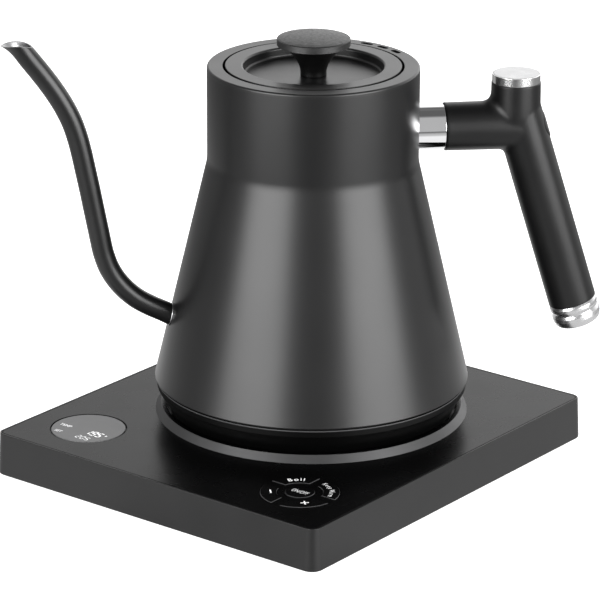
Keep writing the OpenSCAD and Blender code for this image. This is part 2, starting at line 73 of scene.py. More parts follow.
def along_grip(p):
    """local (x, y, z down the grip's axis) -> row frame, mm"""
    p = np.asarray(p, float)
    s, c = math.sin(rad(LEAN)), math.cos(rad(LEAN))
    return np.stack([POST_X + p[..., 0] * c + p[..., 2] * s, p[..., 1], GRIP_Z0 + p[..., 0] * s - p[..., 2] * c], -1)


def along_x(p):
    """local z -> row +X at the arm's height"""
    p = np.asarray(p, float)
    return np.stack([p[..., 2], p[..., 1], ARM_Z - p[..., 0]], -1)


def at_post(p):
    return np.asarray(p, float) + np.array([POST_X, 0, 0])


def build(name, parts, body, mats, replaces=(), angle=32.0, place=None):
    """parts: list of (verts Nx3 in mm, faces, material index). One object, closed and smooth-shaded."""
    bm = bmesh.new()
    for verts, faces, mi in parts:
        v = np.asarray(verts, float)
        if place is not None:
            v = place(v)
        bv = [bm.verts.new(p) for p in v * MM]
        for f in faces:
            try:
                bf = bm.faces.new([bv[i] for i in f])
                bf.material_index = mi
            except ValueError:
                pass
    bmesh.ops.remove_doubles(bm, verts=bm.verts, dist=2e-7)
    bmesh.ops.dissolve_degenerate(bm, edges=bm.edges, dist=1e-8)
    bmesh.ops.delete(bm, geom=[e for e in bm.edges if not e.link_faces], context="EDGES")
    bmesh.ops.recalc_face_normals(bm, faces=bm.faces)
    me = bpy.data.meshes.new(name)
    bm.to_mesh(me)
    bm.free()
    me.shade_smooth()
    me.set_sharp_from_angle(angle=rad(angle))
    ob = bpy.data.objects.new(name, me)
    bpy.context.scene.collection.objects.link(ob)
    for m in mats if isinstance(mats, (list, tuple)) else [mats]:
        me.materials.append(m)
    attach(ob, body)
    if replaces:
        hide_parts(*replaces)
    return ob


def rounded(pts, n=4, closed=True, guard=True):
    """pts: (x, y) or (x, y, radius). Arcs at the corners, each with a guard point just beyond it so flats stay flat."""
    out, m = [], len(pts)
    for i, p in enumerate(pts):
        b = np.array(p[:2], float)
        r = p[2] if len(p) > 2 else 0.0
        if r <= 0 or (not closed and i in (0, m - 1)):
            out.append(b)
            continue
        a, c = np.array(pts[i - 1][:2], float), np.array(pts[(i + 1) % m][:2], float)
        u, v = a - b, c - b
        lu, lv = np.linalg.norm(u), np.linalg.norm(v)
        u, v = u / lu, v / lv
        ang = math.acos(max(-1, min(1, float(u @ v))))
        t = min(r / math.tan(ang / 2), 0.47 * lu, 0.47 * lv)
        rr = t * math.tan(ang / 2)
        centre = b + (u + v) / np.linalg.norm(u + v) * (rr / math.sin(ang / 2))
        s, e = b + u * t - centre, b + v * t - centre
        a0, a1 = math.atan2(s[1], s[0]), math.atan2(e[1], e[0])
        d = (a1 - a0 + math.pi) % (2 * math.pi) - math.pi
        g = min(0.12 * rr, 0.2 * t) if guard else 0
        if g:
            out.append(b + u * (t + g))
        out += [centre + rr * np.array([math.cos(a0 + d * k / n), math.sin(a0 + d * k / n)]) for k in range(n + 1)]
        if g:
            out.append(b + v * (t + g))
    return [tuple(map(float, q)) for q in out]


def skin(rings, closed=True, mi=0, loop=False, caps=(False, False)):
    """Quads between rings of equal length. closed: each ring is a loop. loop: the last ring joins the first."""
    rings = [np.asarray(r, float) for r in rings]
    n, m = len(rings[0]), len(rings)
    verts = np.concatenate(rings)
    faces = []
    for i in range(m if loop else m - 1):
        a, b = i * n, ((i + 1) % m) * n
        for j in range(n if closed else n - 1):
            k = (j + 1) % n
            faces.append((a + j, a + k, b + k, b + j))
    if caps[0]:
        faces.append(tuple(range(n))[::-1])
    if caps[1]:
        faces.append(tuple(range((m - 1) * n, m * n)))
    return verts, faces, mi


def lathe(profile, seg=160, mi=0, closed=True):
    """profile: (r, z) points turned about Z"""
    a = np.arange(seg) * 2 * math.pi / seg
    rings = [np.stack([r * np.cos(a), r * np.sin(a), np.full(seg, z)], 1) for r, z in profile]
    return skin(rings, True, mi, loop=closed)


def circle(r, c=(0, 0), n=96):
    a = np.arange(n) * 2 * math.pi / n
    return np.stack([c[0] + r * np.cos(a), c[1] + r * np.sin(a)], 1)


def rect(w, d, r, n=8):
    out = []
    for sx, sy, a0 in ((1, 1, 0), (-1, 1, 90), (-1, -1, 180), (1, -1, 270)):
        for k in range(n + 1):
            a = rad(a0 + 90 * k / n)
            out.append((sx * (w / 2 - r) + r * math.cos(a), sy * (d / 2 - r) + r * math.sin(a)))
    return np.array(out)


def key_shape(angle, g=0.0, n=20):
    """outline of one of the four ring keys, grown by g"""
    R, ri, b = PAD_R + g, PAD_RI - g, KEY_BAR - g
    a0, a1 = math.asin(b / R), math.pi / 2 - math.asin(b / R)
    c0, c1 = math.pi / 2 - math.asin(b / ri), math.asin(b / ri)
    pts = [(R * math.cos(a0 + (a1 - a0) * k / n), R * math.sin(a0 + (a1 - a0) * k / n)) for k in range(n + 1)]
    pts += [(ri * math.cos(c0 + (c1 - c0) * k / n), ri * math.sin(c0 + (c1 - c0) * k / n)) for k in range(n + 1)]
    t = rad(angle - 45)
    p = np.array(pts)
    return np.stack([p[:, 0] * math.cos(t) - p[:, 1] * math.sin(t), p[:, 0] * math.sin(t) + p[:, 1] * math.cos(t)], 1)


def inside(pts, loop):
    """which points lie inside a closed outline (even-odd rule)"""
    x, y = pts[:, 0], pts[:, 1]
    odd = np.zeros(len(pts), bool)
    for a, b in zip(loop, np.roll(loop, -1, 0)):
        if a[1] != b[1]:
            odd ^= ((a[1] > y) != (b[1] > y)) & (x < (b[0] - a[0]) * (y - a[1]) / (b[1] - a[1]) + a[0])
    return odd


def plate(outer, holes, z0, z1, ch=0.0, mi=0, bottom_ch=0.0, edge_mi=None):
    """Flat plate. outer and holes are functions of g, the outline grown by g. ch: chamfer of every top edge."""
    loops = [outer] + list(holes)
    sign = [1] + [-1] * len(holes)
    parts = []
    levels = [(z1, -ch), (z1 - ch, 0.0), (z0 + bottom_ch, 0.0), (z0, -bottom_ch)]
    if not bottom_ch:
        levels = levels[:2] + [(z0, 0.0)]
    if not ch:
        levels = levels[1:]
    for f, s in zip(loops, sign):
        rings = []
        for z, g in levels:
            p = f(s * g)
            rings.append(np.column_stack([p, np.full(len(p), z)]))
        if ch and edge_mi is not None:
            parts.append(skin(rings[:2], True, edge_mi))
            rings = rings[1:]
        parts.append(skin(rings, True, mi))
    for z, g in (levels[0], levels[-1]):
        pts, edges, k = [], [], 0
        for f, s in zip(loops, sign):
            p = f(s * g)
            pts += [Vector((float(a), float(b))) for a, b in p]
            edges += [(k + i, k + (i + 1) % len(p)) for i in range(len(p))]
            k += len(p)
        co, _, tris, *_ = delaunay_2d_cdt(pts, edges, [], 1, 1e-6)
        co = np.array([(q.x, q.y) for q in co])
        mid = co[np.array([tuple(t) for t in tris])].mean(1)
        keep = np.ones(len(mid), bool)
        for f, s in list(zip(loops, sign))[1:]:
            keep &= ~inside(mid, f(s * g))
        parts.append((np.column_stack([co, np.full(len(co), z)]), [tuple(t) for t, k in zip(tris, keep) if k], mi))
    return parts


def shift(parts, dx=0.0, dy=0.0, dz=0.0):
    return [(np.asarray(v, float) + np.array([dx, dy, dz]), f, m) for v, f, m in parts]


# ---------------------------------------------------------------------------
# materials: all procedural, in object coordinates (metres)
# ---------------------------------------------------------------------------
def material(name, color, rough, metallic=0.0, specular=0.5, ior=1.5, coat=0.0, coat_rough=0.1,
             tone=(60.0, 0.12), vary=(90.0, 0.05), grain=(2600.0, 0.1, 0.00003), stretch=None,
             lines=None, emission=None, transmission=0.0, anisotropic=0.0):
    """tone: noise scale and share of colour change. vary: scale and change of roughness. grain: scale, strength, height of the bump.
    stretch: (x, y, z) scales applied to the grain. lines: (kind, centre, scale, strength) turned or brushed lines added to the bump."""
    m = bpy.data.materials.new(name)
    m.use_nodes = True
    nt = m.node_tree
    nt.nodes.clear()
    N, L = nt.nodes.new, nt.links.new
    out, bsdf = N("ShaderNodeOutputMaterial"), N("ShaderNodeBsdfPrincipled")
    L(bsdf.outputs["BSDF"], out.inputs["Surface"])
    bsdf.inputs["Metallic"].default_value = metallic
    bsdf.inputs["Specular IOR Level"].default_value = specular
    bsdf.inputs["IOR"].default_value = ior
    bsdf.inputs["Coat Weight"].default_value = coat
    bsdf.inputs["Coat Roughness"].default_value = coat_rough
    bsdf.inputs["Transmission Weight"].default_value = transmission
    bsdf.inputs["Anisotropic"].default_value = anisotropic
    tc = N("ShaderNodeTexCoord")
    vec = tc.outputs["Object"]

    def noise(scale, detail=3.0, roughness=0.55, v=None, dist=0.0):
        n = N("ShaderNodeTexNoise")
        n.inputs["Scale"].default_value = scale
        n.inputs["Detail"].default_value = detail
        n.inputs["Roughness"].default_value = roughness
        n.inputs["Distortion"].default_value = dist
        L(v if v is not None else vec, n.inputs["Vector"])
        return n.outputs["Fac"]

    def ranged(v, lo, hi, a=0.3, b=0.7):
        r = N("ShaderNodeMapRange")
        r.inputs["From Min"].default_value = a
        r.inputs["From Max"].default_value = b
        r.inputs["To Min"].default_value = lo
        r.inputs["To Max"].default_value = hi
        L(v, r.inputs["Value"])
        return r.outputs["Result"]

    def maths(op, a, b):
        q = N("ShaderNodeMath")
        q.operation = op
        for i, x in enumerate((a, b)):
            if isinstance(x, (int, float)):
                q.inputs[i].default_value = x
            else:
                L(x, q.inputs[i])
        return q.outputs[0]

    mix = N("ShaderNodeMix")
    mix.data_type = "RGBA"
    c = np.array(color[:3], float)
    mix.inputs["A"].default_value = (*np.clip(c * (1 - tone[1]), 0, 1), 1)
    mix.inputs["B"].default_value = (*np.clip(c * (1 + tone[1]), 0, 1), 1)
    L(ranged(noise(tone[0]), 0, 1), mix.inputs["Factor"])
    L(mix.outputs["Result"], bsdf.inputs["Base Color"])
    rv = ranged(noise(vary[0], 4.0), max(0.01, rough - vary[1]), rough + vary[1])
    height = None
    if grain:
        gv = vec
        if stretch:
            mp = N("ShaderNodeMapping")
            mp.inputs["Scale"].default_value = stretch
            L(vec, mp.inputs["Vector"])
            gv = mp.outputs["Vector"]
        height = noise(grain[0], 2.0, 0.6, gv)
    if lines:
        kind, centre, scale, strength = lines
        mp = N("ShaderNodeMapping")
        mp.inputs["Location"].default_value = [-x for x in centre]
        L(vec, mp.inputs["Vector"])
        if kind == "turned":  # rings about a vertical line: noise read along the radius only
            sep = N("ShaderNodeSeparateXYZ")
            L(mp.outputs["Vector"], sep.inputs[0])
            r = maths("SQRT", maths("ADD", maths("MULTIPLY", sep.outputs[0], sep.outputs[0]), maths("MULTIPLY", sep.outputs[1], sep.outputs[1])), 0.0)
            com = N("ShaderNodeCombineXYZ")
            L(r, com.inputs[0])
            lv = com.outputs[0]
        elif kind == "upright":  # fine lines that run up a turned side: noise read round the axis
            sep = N("ShaderNodeSeparateXYZ")
            L(mp.outputs["Vector"], sep.inputs[0])
            ang = maths("ARCTAN2", sep.outputs[1], sep.outputs[0])
            com = N("ShaderNodeCombineXYZ")
            L(maths("MULTIPLY", ang, 0.02), com.inputs[0])
            L(maths("MULTIPLY", sep.outputs[2], 0.06), com.inputs[2])
            lv = com.outputs[0]
        else:  # rings read along the height
            sep = N("ShaderNodeSeparateXYZ")
            L(mp.outputs["Vector"], sep.inputs[0])
            com = N("ShaderNodeCombineXYZ")
            L(sep.outputs[2], com.inputs[0])
            lv = com.outputs[0]
        ln = noise(scale, 3.0, 0.7, lv)
        rv = maths("ADD", rv, ranged(ln, -0.3 * strength, 0.3 * strength))
        height = ln if height is None else maths("ADD", maths("MULTIPLY", height, 0.4), maths("MULTIPLY", ln, 0.6))
    L(rv, bsdf.inputs["Roughness"])
    if height is not None:
        bump = N("ShaderNodeBump")
        bump.inputs["Strength"].default_value = grain[1] if grain else lines[3]
        bump.inputs["Distance"].default_value = grain[2] if grain else 0.00002
        L(height, bump.inputs["Height"])
        L(bump.outputs["Normal"], bsdf.inputs["Normal"])
        if coat:
            L(bump.outputs["Normal"], bsdf.inputs["Coat Normal"])
    if emission:
        bsdf.inputs["Emission Color"].default_value = (*emission[:3], 1)
        bsdf.inputs["Emission Strength"].default_value = emission[3]
    return m


M = {}
M["housing"] = material("housing_satin_black", (0.0042, 0.0042, 0.0043), 0.40, specular=0.33, tone=(35, 0.12), vary=(60, 0.02), grain=(3400, 0.10, 0.00003))
M["panel"] = material("panel_black", (0.0014, 0.0014, 0.0015), 0.27, specular=0.12, tone=(25, 0.2), vary=(40, 0.02), grain=(3600, 0.03, 0.00001))
M["ring"] = material("seat_ring_satin", (0.088, 0.088, 0.089), 0.42, metallic=1.0, tone=(50, 0.08), vary=(70, 0.03), grain=(3600, 0.03, 0.00001), lines=("rings", (0, 0, 0), 9000, 0.05))
M["foot"] = material("kettle_foot_black", (0.0008, 0.0008, 0.0008), 0.34, specular=0.14, tone=(40, 0.1), vary=(25, 0.01), grain=(3800, 0.02, 0.00001))
M["body"] = material("body_graphite_coat", (0.003, 0.003, 0.0031), 0.335, specular=0.38, tone=(22, 0.10), vary=(30, 0.012), grain=(3800, 0.07, 0.00002))
M["rim"] = material("rim_graphite_coat", (0.0035, 0.0035, 0.0036), 0.33, specular=0.42, tone=(40, 0.10), vary=(60, 0.015), grain=(3800, 0.07, 0.00002))
M["lid"] = material("lid_graphite_coat", (0.0035, 0.0035, 0.0036), 0.32, specular=0.42, tone=(40, 0.10), vary=(60, 0.015), grain=(3800, 0.07, 0.00002), lines=("turned", (0, 0, 0), 2500, 0.05))
M["spout"] = material("spout_graphite_coat", (0.0032, 0.0032, 0.0033), 0.34, specular=0.42, tone=(40, 0.12), vary=(60, 0.015), grain=(3800, 0.07, 0.00002))
M["steel_in"] = material("bare_steel_inside", (0.55, 0.55, 0.56), 0.30, metallic=1.0, tone=(60, 0.02), vary=(60, 0.0), grain=(2500, 0.02, 0.000002))
M["knob"] = material("knob_granular_grey", (0.006, 0.006, 0.0061), 0.42, specular=0.5, tone=(900, 0.35), vary=(700, 0.08), grain=(1900, 0.5, 0.00006), lines=("upright", (0, 0, 0), 30000, 0.12))
M["stem"] = material("knob_stem_black", (0.0015, 0.0015, 0.0015), 0.42, specular=0.2, tone=(300, 0.3), vary=(200, 0.06), grain=(1200, 0.2, 0.00004), lines=("upright", (0, 0, 0), 22000, 0.15))
M["grip"] = material("grip_soft_black", (0.0016, 0.0016, 0.0017), 0.38, specular=0.32, tone=(50, 0.15), vary=(70, 0.03), grain=(2600, 0.25, 0.00004))
M["end_chrome"] = material("end_cap_chrome", (0.56, 0.56, 0.565), 0.27, metallic=1.0, tone=(60, 0.03), vary=(150, 0.02), grain=(1500, 0.02, 0.00001))
M["cap_chrome"] = material("handle_cap_chrome", (0.93, 0.93, 0.93), 0.18, metallic=1.0, tone=(60, 0.03), vary=(150, 0.02), grain=(1500, 0.02, 0.00001))
M["weld"] = material("spout_root_line", (0.38, 0.38, 0.385), 0.30, metallic=1.0, tone=(200, 0.1), vary=(200, 0.05), grain=(1500, 0.05, 0.00001))
M["mouth"] = material("spout_inside_steel", (0.50, 0.50, 0.505), 0.42, metallic=1.0, tone=(90, 0.1), vary=(120, 0.05), grain=(1800, 0.08, 0.00002))
M["chrome"] = material("chrome_polished", (0.86, 0.86, 0.87), 0.06, metallic=1.0, tone=(60, 0.02), vary=(150, 0.02), grain=(1500, 0.02, 0.00001))
M["disc"] = material("cap_disc_brushed", (0.46, 0.46, 0.465), 0.30, metallic=1.0, tone=(300, 0.05), vary=(200, 0.04), grain=(2500, 0.15, 0.00001), lines=("turned", (0.0973, 0, 0), 7000, 0.20))
M["trim"] = material("trim_line_grey", (0.035, 0.035, 0.036), 0.42, specular=0.4, tone=(100, 0.1), vary=(150, 0.05), grain=(2500, 0.1, 0.00001))
# painted shade: a near-black finish put on walls inside gaps and recesses (steam slots, lid gap, foot trim groove)
# where shade falls
M["void"] = material("painted_shade_black", (0.0012, 0.0012, 0.0012), 0.6, specular=0.2, tone=(200, 0.2), vary=(200, 0.05), grain=(1500, 0.1, 0.00002))
M["lens"] = material("display_lens_grey", (0.115, 0.115, 0.117), 0.16, specular=0.15, tone=(60, 0.06), vary=(60, 0.03), grain=(900, 0.02, 0.00001))
# white print with a painted glow: emission makes the key print shine, though it is no lamp
M["print"] = material("white_print_painted_glow", (0.88, 0.88, 0.88), 0.5, tone=(800, 0.08), vary=(500, 0.05), grain=(3000, 0.2, 0.00001), emission=(1, 1, 1, 0.22))
M["lit"] = material("display_white", (0.85, 0.85, 0.86), 0.4, tone=(800, 0.08), vary=(500, 0.05), grain=(3000, 0.1, 0.00001), emission=(1, 1, 1, 0.5))
M["lit_dim"] = material("display_white_dim", (0.80, 0.80, 0.81), 0.4, tone=(800, 0.08), vary=(500, 0.05), grain=(3000, 0.1, 0.00001), emission=(1, 1, 1, 0.12))
# painted highlight: a lighter grey on the key chamfers stands in for the light they catch
M["key_edge"] = material("key_edge_painted_highlight", (0.036, 0.036, 0.037), 0.35, specular=0.3, tone=(300, 0.2), vary=(300, 0.05), grain=(2500, 0.05, 0.00001))
M["key"] = material("key_black", (0.0018, 0.0018, 0.0019), 0.26, specular=0.12, tone=(200, 0.15), vary=(120, 0.03), grain=(3000, 0.05, 0.00002))
M["plastic"] = material("moulded_black", (0.015, 0.015, 0.015), 0.50, tone=(80, 0.15), vary=(90, 0.06), grain=(1600, 0.3, 0.00006))
M["rubber"] = material("soft_rubber", (0.018, 0.018, 0.018), 0.75, specular=0.3, tone=(150, 0.2), vary=(150, 0.06), grain=(1400, 0.4, 0.00008))
M["silicone"] = material("grey_silicone", (0.13, 0.13, 0.13), 0.55, specular=0.4, tone=(150, 0.1), vary=(120, 0.06), grain=(1400, 0.2, 0.00005))
M["steel"] = material("steel_satin", (0.58, 0.58, 0.59), 0.30, metallic=1.0, tone=(120, 0.08), vary=(150, 0.08), grain=(1500, 0.15, 0.00002))
M["brass"] = material("contact_brass", (0.66, 0.47, 0.18), 0.28, metallic=1.0, tone=(300, 0.12), vary=(200, 0.08), grain=(1500, 0.15, 0.00002))
M["acetal"] = material("acetal_natural", (0.62, 0.62, 0.58), 0.42, tone=(120, 0.05), vary=(120, 0.05), grain=(1800, 0.15, 0.00003))
M["board"] = material("circuit_board_green", (0.015, 0.13, 0.045), 0.35, tone=(260, 0.3), vary=(200, 0.08), grain=(700, 0.4, 0.00008))
M["parts"] = material("component_black", (0.02, 0.02, 0.02), 0.4, tone=(120, 0.2), vary=(120, 0.08), grain=(1500, 0.2, 0.00005))
M["module"] = material("display_module_glass", (0.05, 0.07, 0.07), 0.15, tone=(120, 0.2), vary=(120, 0.05), grain=(900, 0.05, 0.00002))
M["element"] = material("heat_tinted_steel", (0.33, 0.29, 0.25), 0.38, metallic=1.0, tone=(90, 0.25), vary=(120, 0.1), grain=(1500, 0.25, 0.00004))
M["ceramic"] = material("ceramic_cutoff", (0.72, 0.69, 0.62), 0.5, tone=(150, 0.08), vary=(120, 0.06), grain=(1200, 0.3, 0.00005))

CAD_LOOK = {
    "base_bottom": "plastic", "base_screws": "steel", "base_feet": "rubber", "foot_ring": "rubber", "base_connector": "plastic",
    "base_contacts": "brass", "turn_collar": "acetal", "display_module": "module", "button_frame": "plastic", "control_board": "board",
    "tact_switches": "parts", "buzzer": "parts", "power_board": "board", "cord_gland": "plastic", "foot_screws": "steel",
    "kettle_connector": "plastic", "kettle_contacts": "brass", "heater_plate": "steel", "heating_element": "element",
    "thermal_cutoffs": "ceramic", "temperature_sensor": "steel", "spout_strainer": "steel", "handle_bracket": "steel",
    "handle_bolt": "steel", "lid_inner": "plastic", "lid_seal": "silicone", "knob_screw": "steel", "spout_ring": "spout",
}
for n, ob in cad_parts.items():
    look = M[CAD_LOOK.get(n, "plastic")]
    ob.data.materials.clear()
    ob.data.materials.append(look)

# ---------------------------------------------------------------------------
# power base
# ---------------------------------------------------------------------------
def base_ring(w, d, r, z):
    p = rect(w, d, r, 10)
    return np.column_stack([p, np.full(len(p), z)])


side = rounded([(BASE_W / 2 - 2.2, 1.5), (BASE_W / 2 + DRAFT, 1.5, 0.7), (BASE_W / 2 + 0.02, BASE_TOP, 0.25), (BASE_W / 2 - 1.0, BASE_TOP, 0.12),
                (BASE_W / 2 - 1.0, 20.9), (BASE_W / 2 - 2.2, 20.9)], n=5)
rings = [base_ring(2 * x, 2 * x + BASE_D - BASE_W, max(0.6, BASE_R + (x - BASE_W / 2)), z) for x, z in side]
deck = plate(lambda g: rect(BASE_W - 4.4 + 2 * g, BASE_D - 4.4 + 2 * g, 2.8, 10),
             [lambda g: circle(19.1 + g, (0, AXIS_BACK)), lambda g: circle(19.6 + g, PAD), lambda g: circle(17.0 + g, DISP)], 18.6, 20.9)
v, f, _ = skin(rings, True, 0, loop=True)
n_s = len(rings[0])
flat = {i for i, (x, z) in enumerate(side) if z > BASE_TOP - 0.03 and x < BASE_W / 2 - 0.3}
build("base_housing_shell", [(v, [q for q in f if not all(k // n_s in flat for k in q)], 0), (v, [q for q in f if all(k // n_s in flat for k in q)], 1)] + deck,
      "power_base", [M["housing"], M["panel"]], ["base_housing"], place=on_base)

holes = [lambda g: circle(73.0 + g, (0, AXIS_BACK), 160), lambda g: circle(18.5 + g, DISP), lambda g: circle(KEY_R + 0.2 + g, PAD, 64)]
for a in (135, 45, -45, -135):
    holes.append(lambda g, a=a: key_shape(a, 0.2 + g) + np.array(PAD))
build("base_top_panel", plate(lambda g: rect(BASE_W - 2.5 + 2 * g, BASE_D - 2.5 + 2 * g, BASE_R - 1.25 + g, 10), holes, 20.95, BASE_TOP, 0.12),
      "power_base", M["panel"], ["base_panel"], place=on_base)

ring_prof = rounded([(70.6, 20.95, 0.2), (72.8, 20.95, 0.2), (72.8, 22.22), (75.75, 22.22), (73.1, 25.75, 0.25), (72.4, 25.8), (70.6, 25.5, 0.3)], n=5)
v, f, _ = lathe(ring_prof, 240)
n_r = len(ring_prof)
# the ring's outer flange and slope keep the satin metal; its top and inner faces take the black panel finish as painted
# shade between ring and kettle foot
lit = [i for i, (r, z) in enumerate(ring_prof) if r > 72.85]
outer_f = [q for q in f if all(k // 240 in lit for k in q)]
painted_shade_faces = [q for q in f if not all(k // 240 in lit for k in q)]
build("seat_ring_turned", [(v, outer_f, 0), (v, painted_shade_faces, 1)], "power_base", [M["ring"], M["panel"]], ["seat_ring"])

lens = rounded([(0, 21.0), (17.8, 21.0), (17.8, 22.2, 0.25), (0, 22.2)], n=4, closed=False)
build("display_lens", shift([lathe(lens, 128, closed=True)], DISP[0], DISP[1]), "power_base", M["lens"], ["display_window"], place=on_base)

# keys, raised a little, with a fine chamfer that catches the light; the chamfer also carries a lighter grey as painted
# highlight
key_bodies = {"boil_button": ("boil_key", 135), "keep_warm_button": ("keep_warm_key", 45), "plus_button": ("plus_key", -45), "minus_button": ("minus_key", -135)}
KT = BASE_TOP + KEY_UP
for nd, (body, a) in key_bodies.items():
    cap = plate(lambda g, a=a: key_shape(a, g), [], 19.9, KT, 0.22, edge_mi=1)
    skirt = plate(lambda g, a=a: key_shape(a, 0.6 + g), [], 19.5, 20.85, 0.1)
    stem = shift([lathe([(0, 13.2), (1.5, 13.2), (1.5, 19.6), (0, 19.6)], 32)], 14.6 * math.cos(rad(a)), 14.6 * math.sin(rad(a)))
    build(nd + "_cap", shift(cap + skirt + stem, *PAD), body, [M["key"], M["key_edge"]], [nd], place=on_base)
oo = rounded([(0, 13.2), (1.5, 13.2), (1.5, 19.5), (7.5, 19.5), (7.5, 20.85), (KEY_R, 20.85), (KEY_R, KT - 0.22), (KEY_R - 0.22, KT), (0, KT)], n=3, closed=False)
v, f, _ = lathe(oo, 96)
edge = {i for i, (r, z) in enumerate(oo) if z > KT - 0.25 and r > 1}
onoff = [(v, [q for q in f if not all(k // 96 in edge for k in q)], 0), (v, [q for q in f if all(k // 96 in edge for k in q)], 1)]
build("on_off_button_cap", shift(onoff, *PAD), "on_off_key", [M["key"], M["key_edge"]], ["on_off_button"], place=on_base)


# lettering: generic words, numbers and signs only
def glyphs(text, size, depth=0.02, spacing=1.0, weight=0.0):
    """Mesh parts of a line of text in mm, lying in XY, centred on the origin"""
    cu = bpy.data.curves.new("glyph", "FONT")
    cu.body = text
    cu.size = size
    cu.space_character = spacing
    cu.align_x, cu.align_y = "CENTER", "CENTER"
    cu.resolution_u = 3
    cu.extrude = depth / 2
    cu.offset = size * weight
    ob = bpy.data.objects.new("glyph", cu)
    bpy.context.scene.collection.objects.link(ob)
    bpy.context.view_layer.update()
    me = bpy.data.meshes.new_from_object(ob.evaluated_get(bpy.context.evaluated_depsgraph_get()))
    v = np.array([p.co[:] for p in me.vertices])
    f = [tuple(p.vertices) for p in me.polygons]
    bpy.data.objects.remove(ob)
    bpy.data.meshes.remove(me)
    return v, f


def turn(v, deg, at, z, stretch=(1.0, 1.0), slant=0.0):
    v = v * np.array([stretch[0], stretch[1], 1])
    v[:, 0] += slant * v[:, 1]
    c, s = math.cos(rad(deg)), math.sin(rad(deg))
    return np.stack([at[0] + v[:, 0] * c - v[:, 1] * s, at[1] + v[:, 0] * s + v[:, 1] * c, v[:, 2] - v[:, 2].min() + z], 1)


def line_text(text, size, at, deg, z, stretch=(1.0, 1.0), spacing=1.0, slant=0.0, weight=0.0):
    v, f = glyphs(text, size, spacing=spacing, weight=weight)
    return [(turn(v, deg, at, z, stretch, slant), f, 0)]


def arc_text(text, size, r, start, end, z, centre, stretch=1.0, weight=0.0):
    """letters round an arc, read clockwise, tops outward"""
    widths = {"m": 1.5, "w": 1.3, "W": 1.5, "l": 0.5, "i": 0.5, "r": 0.7, " ": 0.6}
    w = [widths.get(ch, 1.0) for ch in text]
    out, run, total = [], 0.0, sum(w)
    for ch, q in zip(text, w):
        a = start + (end - start) * (run + q / 2) / total
        run += q
        if ch == " ":
            continue
        v, f = glyphs(ch, size, weight=weight)
        out.append((turn(v, a - 90, (centre[0] + r * math.cos(rad(a)), centre[1] + r * math.sin(rad(a))), z, (stretch, 1.0)), f, 0))
    return out


def bar(p, q, w, z, h=0.03, pointed=0.35):
    """a segment of a number sign: a thin bar with pointed ends"""
    p, q = np.array(p, float), np.array(q, float)
    d = (q - p) / np.linalg.norm(q - p)
    n = np.array([-d[1], d[0]])
    k = w * pointed
    pts = [p, p + d * k + n * w / 2, q - d * k + n * w / 2, q, q - d * k - n * w / 2, p + d * k - n * w / 2]
    low, high = [np.array([*a, z]) for a in pts], [np.array([*a, z + h]) for a in pts]
    return skin([low, high], True, 0, caps=(True, True))


SEG = {"0": "abcdef", "1": "bc", "2": "abged", "3": "abgcd", "4": "fgbc", "5": "afgcd", "6": "afgedc", "7": "abc", "8": "abcdefg", "9": "abcdfg"}


def digit(ch, at, w, h, t, z, slant=0.12):
    P = {"tl": (0, h), "tr": (w, h), "ml": (0, h / 2), "mr": (w, h / 2), "bl": (0, 0), "br": (w, 0)}
    ends = {"a": ("tl", "tr"), "b": ("tr", "mr"), "c": ("mr", "br"), "d": ("bl", "br"), "e": ("ml", "bl"), "f": ("tl", "ml"), "g": ("ml", "mr")}
    out = []
    for s in SEG[ch]:
        a, b = (np.array(P[k], float) for k in ends[s])
        d = (b - a) / np.linalg.norm(b - a)
        a, b = a + d * t * 0.28, b - d * t * 0.28
        a, b = (np.array([q[0] + slant * q[1] + at[0], q[1] + at[1]]) for q in (a, b))
        out.append(bar(a, b, t, z))
    return out


zk = KT + 0.004
build("on_off_print", line_text("ON/OFF", 4.3, PAD, 1.5, zk, (0.58, 1.0), weight=-0.012), "on_off_key", M["print"], place=on_base)
build("boil_print", arc_text("Boil", 4.4, 14.7, 152, 117, zk, PAD, 0.95, 0.008), "boil_key", M["print"], place=on_base)
build("keep_warm_print", arc_text("Keep Warm", 3.7, 14.7, 80, 14, zk, PAD, 0.72, -0.01), "keep_warm_key", M["print"], place=on_base)
c45 = math.sqrt(0.5)
px, py = PAD[0] + 14.3 * c45 - 0.4, PAD[1] - 14.3 * c45 + 1.2
arm = 1.95
build("plus_print", [bar((px - arm * c45, py - arm * c45), (px + arm * c45, py + arm * c45), 0.66, zk, 0.03, 0.0),
                     bar((px - arm * c45, py + arm * c45), (px + arm * c45, py - arm * c45), 0.66, zk, 0.029, 0.0)],
      "plus_key", M["print"], place=on_base)
mx, my = PAD[0] - 10.9, PAD[1] - 8.0
build("minus_print", [bar((mx - 1.9 * c45, my + 1.9 * c45), (mx + 1.9 * c45, my - 1.9 * c45), 0.7, zk, 0.03, 0.0)], "minus_key", M["print"], place=on_base)

zd = 22.204
labels = line_text("TEMP", 3.3, (DISP[0] - 10.9, DISP[1] - 3.9), 2, zd, (0.86, 0.9), weight=0.02) + line_text("SET", 3.1, (DISP[0] - 9.2, DISP[1] - 11.4), 2, zd, (0.86, 0.9), weight=0.02)
build("display_labels", labels, "power_base", M["lit_dim"], place=on_base)
digits = []
for i, ch in enumerate("195"):
    digits += digit(ch, (DISP[0] + 2.1 + 3.4 * i, DISP[1] - 6.1), 2.25, 4.6, 0.58, zd)
digits += digit("0", (DISP[0] + 13.0, DISP[1] - 3.2), 0.8, 0.9, 0.3, zd)
build("display_reading", digits, "power_base", M["lit"], place=on_base)
digits = []
for i, ch in enumerate("205"):
    digits += digit(ch, (DISP[0] + 2.2 + 2.7 * i, DISP[1] - 12.5), 1.7, 3.1, 0.46, zd)
build("display_set_reading", digits, "power_base", M["lit_dim"], place=on_base)

